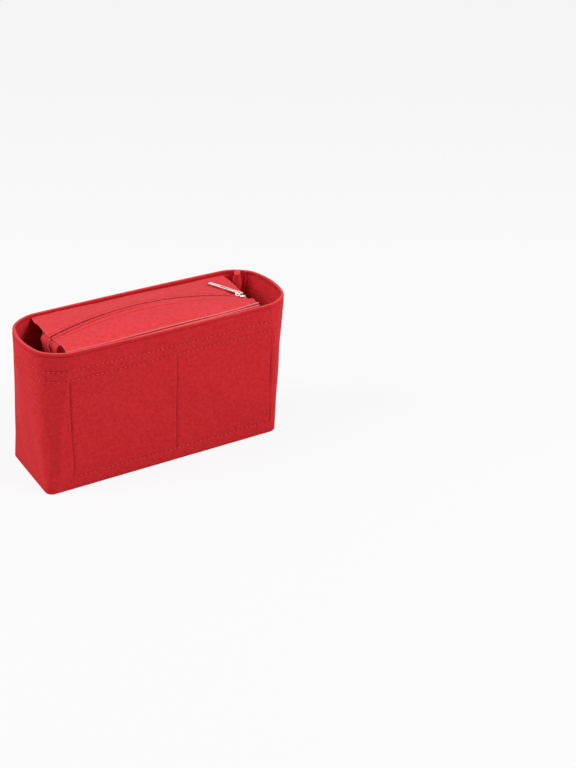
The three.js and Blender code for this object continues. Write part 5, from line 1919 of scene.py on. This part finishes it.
@dataclass
class Studio:
    """Pale floor, soft light and the camera."""

    eye: Place = (-0.5107, -1.1326, 0.7234)
    look: Place = (0.4536, 0.7577, -0.4691)
    roll: float = 0.29
    lens: float = 65.625
    sensor: float = 36.0
    nearest: float = 0.05
    farthest: float = 40.0
    floor_size: float = 10.0
    floor_drop: float = 0.0002
    floor_tone: float = 0.65
    floor_glow: float = 0.88
    world_level: float = 0.25
    softbox_size: float = 0.9
    softboxes: tuple[tuple[str, Place, float], ...] = (
        ("left_softbox", (-1.31, 0.35, 1.18), 22.4),
        ("front_softbox", (0.84, -1.07, 1.18), 22.9),
    )

    def camera(self) -> None:
        """The camera at the photograph's viewing angle."""
        Bench.clear()
        data = bpy.data.cameras.new("camera")
        data.lens, data.sensor_width, data.sensor_fit = self.lens, self.sensor, "AUTO"
        data.clip_start, data.clip_end = self.nearest, self.farthest
        camera = Bench.placed("camera", data)
        turn = Vector(self.look).to_track_quat("-Z", "Y").to_matrix()
        rolled = turn @ Matrix.Rotation(math.radians(self.roll), 3, "Z")
        camera.matrix_world = Matrix.Translation(self.eye) @ rolled.to_4x4()
        bpy.context.scene.camera = camera

    @staticmethod
    def seen(wiring: Wiring) -> NodeSocket:
        """One for what the camera sees directly, mirrored or through something clear."""
        path = wiring.add("ShaderNodeLightPath").outputs
        mirrored = wiring.sum("MAXIMUM", path["Is Camera Ray"], path["Is Glossy Ray"])
        return wiring.sum("MAXIMUM", mirrored, path["Is Transmission Ray"])

    def light(self) -> None:
        """A world that looks white and lights evenly, and two soft lamps."""
        world = bpy.data.worlds.new("studio")
        world.use_nodes = True
        wiring = Wiring(world.node_tree)
        background = world.node_tree.nodes["Background"]
        background.inputs["Color"].default_value = WHITE
        level = wiring.sum("MULTIPLY_ADD", self.seen(wiring), 1 - self.world_level, self.world_level)
        wiring.feed(background, "Strength", level)
        bpy.context.scene.world = world
        for name, place, power in self.softboxes:
            lamp = bpy.data.lights.new(name, "AREA")
            lamp.energy, lamp.size = power, self.softbox_size
            holder = Bench.placed(name, lamp)
            holder.location = place
            holder.rotation_euler = (-Vector(place)).to_track_quat("-Z", "Y").to_euler()

    def floor(self) -> None:
        """The floor, white to the camera and to what is mirrored, with the object's shadow on it."""
        Bench.clear()
        bpy.ops.mesh.primitive_plane_add(size=self.floor_size, location=(0, 0, -self.floor_drop))
        plane = bpy.context.object
        plane.name = "floor"
        wiring = Shading("floor_paper")
        wiring.surface((self.floor_tone, self.floor_tone, self.floor_tone, 1), roughness=1.0, specular=0.0)
        glow = wiring.add("ShaderNodeEmission", inputs={"Color": WHITE, "Strength": 1.0})
        share = wiring.sum("MULTIPLY", self.seen(wiring), self.floor_glow)
        inputs = {0: share, 1: wiring.shader.outputs[0], 2: glow.outputs[0]}
        blend = wiring.add("ShaderNodeMixShader", inputs=inputs)
        wiring.feed(wiring.tree.nodes["Material Output"], "Surface", blend.outputs[0])
        plane.data.materials.append(wiring.material)

    def build(self) -> None:
        """Sets up the studio."""
        bpy.context.scene.view_settings.view_transform = "Standard"
        self.camera()
        self.light()
        self.floor()


def fitted(
    piece: Object, body: str, slot: Slot, material: Material, *nodes: str,
    held: Held | None = None,
) -> None:
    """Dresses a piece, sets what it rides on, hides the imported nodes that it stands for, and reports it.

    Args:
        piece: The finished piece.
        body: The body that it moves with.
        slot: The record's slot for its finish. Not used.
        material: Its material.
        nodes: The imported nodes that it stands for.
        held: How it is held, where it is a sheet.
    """
    piece.data.materials.clear()
    piece.data.materials.append(material)
    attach(piece, body)
    if nodes:
        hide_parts(*nodes)
    if held:
        flat = Felting.flat_sizes[piece.name]
        along, across = (side * MILLIMETRES for side in flat)
        log.info("%s is cut to %.0f by %.0f mm", piece.name, along, across)
    log.info("%s rides on %s, %d faces", piece.name, body, len(piece.data.polygons))


@dataclass
class Finishes:
    """The object's finishes."""

    wall: Material
    facing: Material
    pocket: Material
    # The pouch's felt, partly its own tone, partly painted sheen
    pouch: Material
    thread: Material
    # The sewing thread with painted shade
    dark_thread: Material
    pouch_thread: Material
    tape: Material
    coil: Material
    nickel: Material

    @classmethod
    def made(cls) -> "Finishes":
        """Makes each finish once."""
        # Felt tones, deep and pale, then the colour of the painted shade in its grooves
        felt = linear(188, 27, 34), linear(212, 47, 54), linear(168, 22, 29)
        # Cut edge colours: the felt's own lighter tone with a painted highlight
        wall_cut_highlight, facing_cut_highlight = linear(226, 80, 86), linear(228, 86, 92)
        # The pouch's felt is lighter and pinker than the bin's: partly its own tone, partly a painted sheen
        # of the light from above; its cut colour is a painted highlight with the cut edge's tone
        pouch_felt_and_sheen = linear(202, 50, 55), linear(224, 70, 74), linear(180, 24, 32), linear(254, 140, 142)
        # Tape: deep and pale weave, then the colour of the painted shade beside its rib
        tape_weave = linear(196, 42, 48), linear(222, 70, 74), linear(140, 12, 18)
        return cls(
            wall=Felt("wall_felt", *felt, wall_cut_highlight, cut_highlight_share=0.7, cut_highlight_power=2.0, seed=1.3).material(),
            facing=Felt("facing_felt", *felt, facing_cut_highlight, cut_highlight_share=0.6, cut_highlight_power=2.0, seed=4.1).material(),
            pocket=Felt("pocket_felt", *felt, wall_cut_highlight, seed=7.7).material(),
            pouch=Felt("pouch_felt_and_sheen", *pouch_felt_and_sheen, cut_highlight_share=0.8, seed=9.2).material(),
            thread=Thread("sewing_thread", linear(208, 60, 66), linear(226, 92, 96)).material(),
            # A darker copy of the sewing thread: painted shade for the rim row, the seam row and the rows
            # down the pockets
            dark_thread=Thread("dark_thread", linear(156, 22, 30), linear(184, 40, 46)).material(),
            pouch_thread=Thread("pouch_thread", linear(204, 50, 57), linear(218, 66, 71)).material(),
            tape=Tape("zip_tape_weave", *tape_weave).material(),
            coil=Nylon("zip_nylon", linear(208, 58, 64), linear(232, 92, 96)).material(),
            nickel=Nickel("nickel_plate", (0.90, 0.88, 0.86), (0.50, 0.47, 0.45)).material(),
        )


def main() -> None:
    """Builds the studio and the insert."""
    logging.basicConfig(level=logging.INFO, format="%(name)s: %(message)s")
    Studio().build()
    finishes = Finishes.made()
    form = BinForm()
    felt_bin = FeltBin(form)
    felt_bin.build(finishes)
    InnerPockets(felt_bin).build(finishes)
    ZipPouch(form).build(finishes)
    ZipPull().build(finishes)


if __name__ == "__main__":
    main()
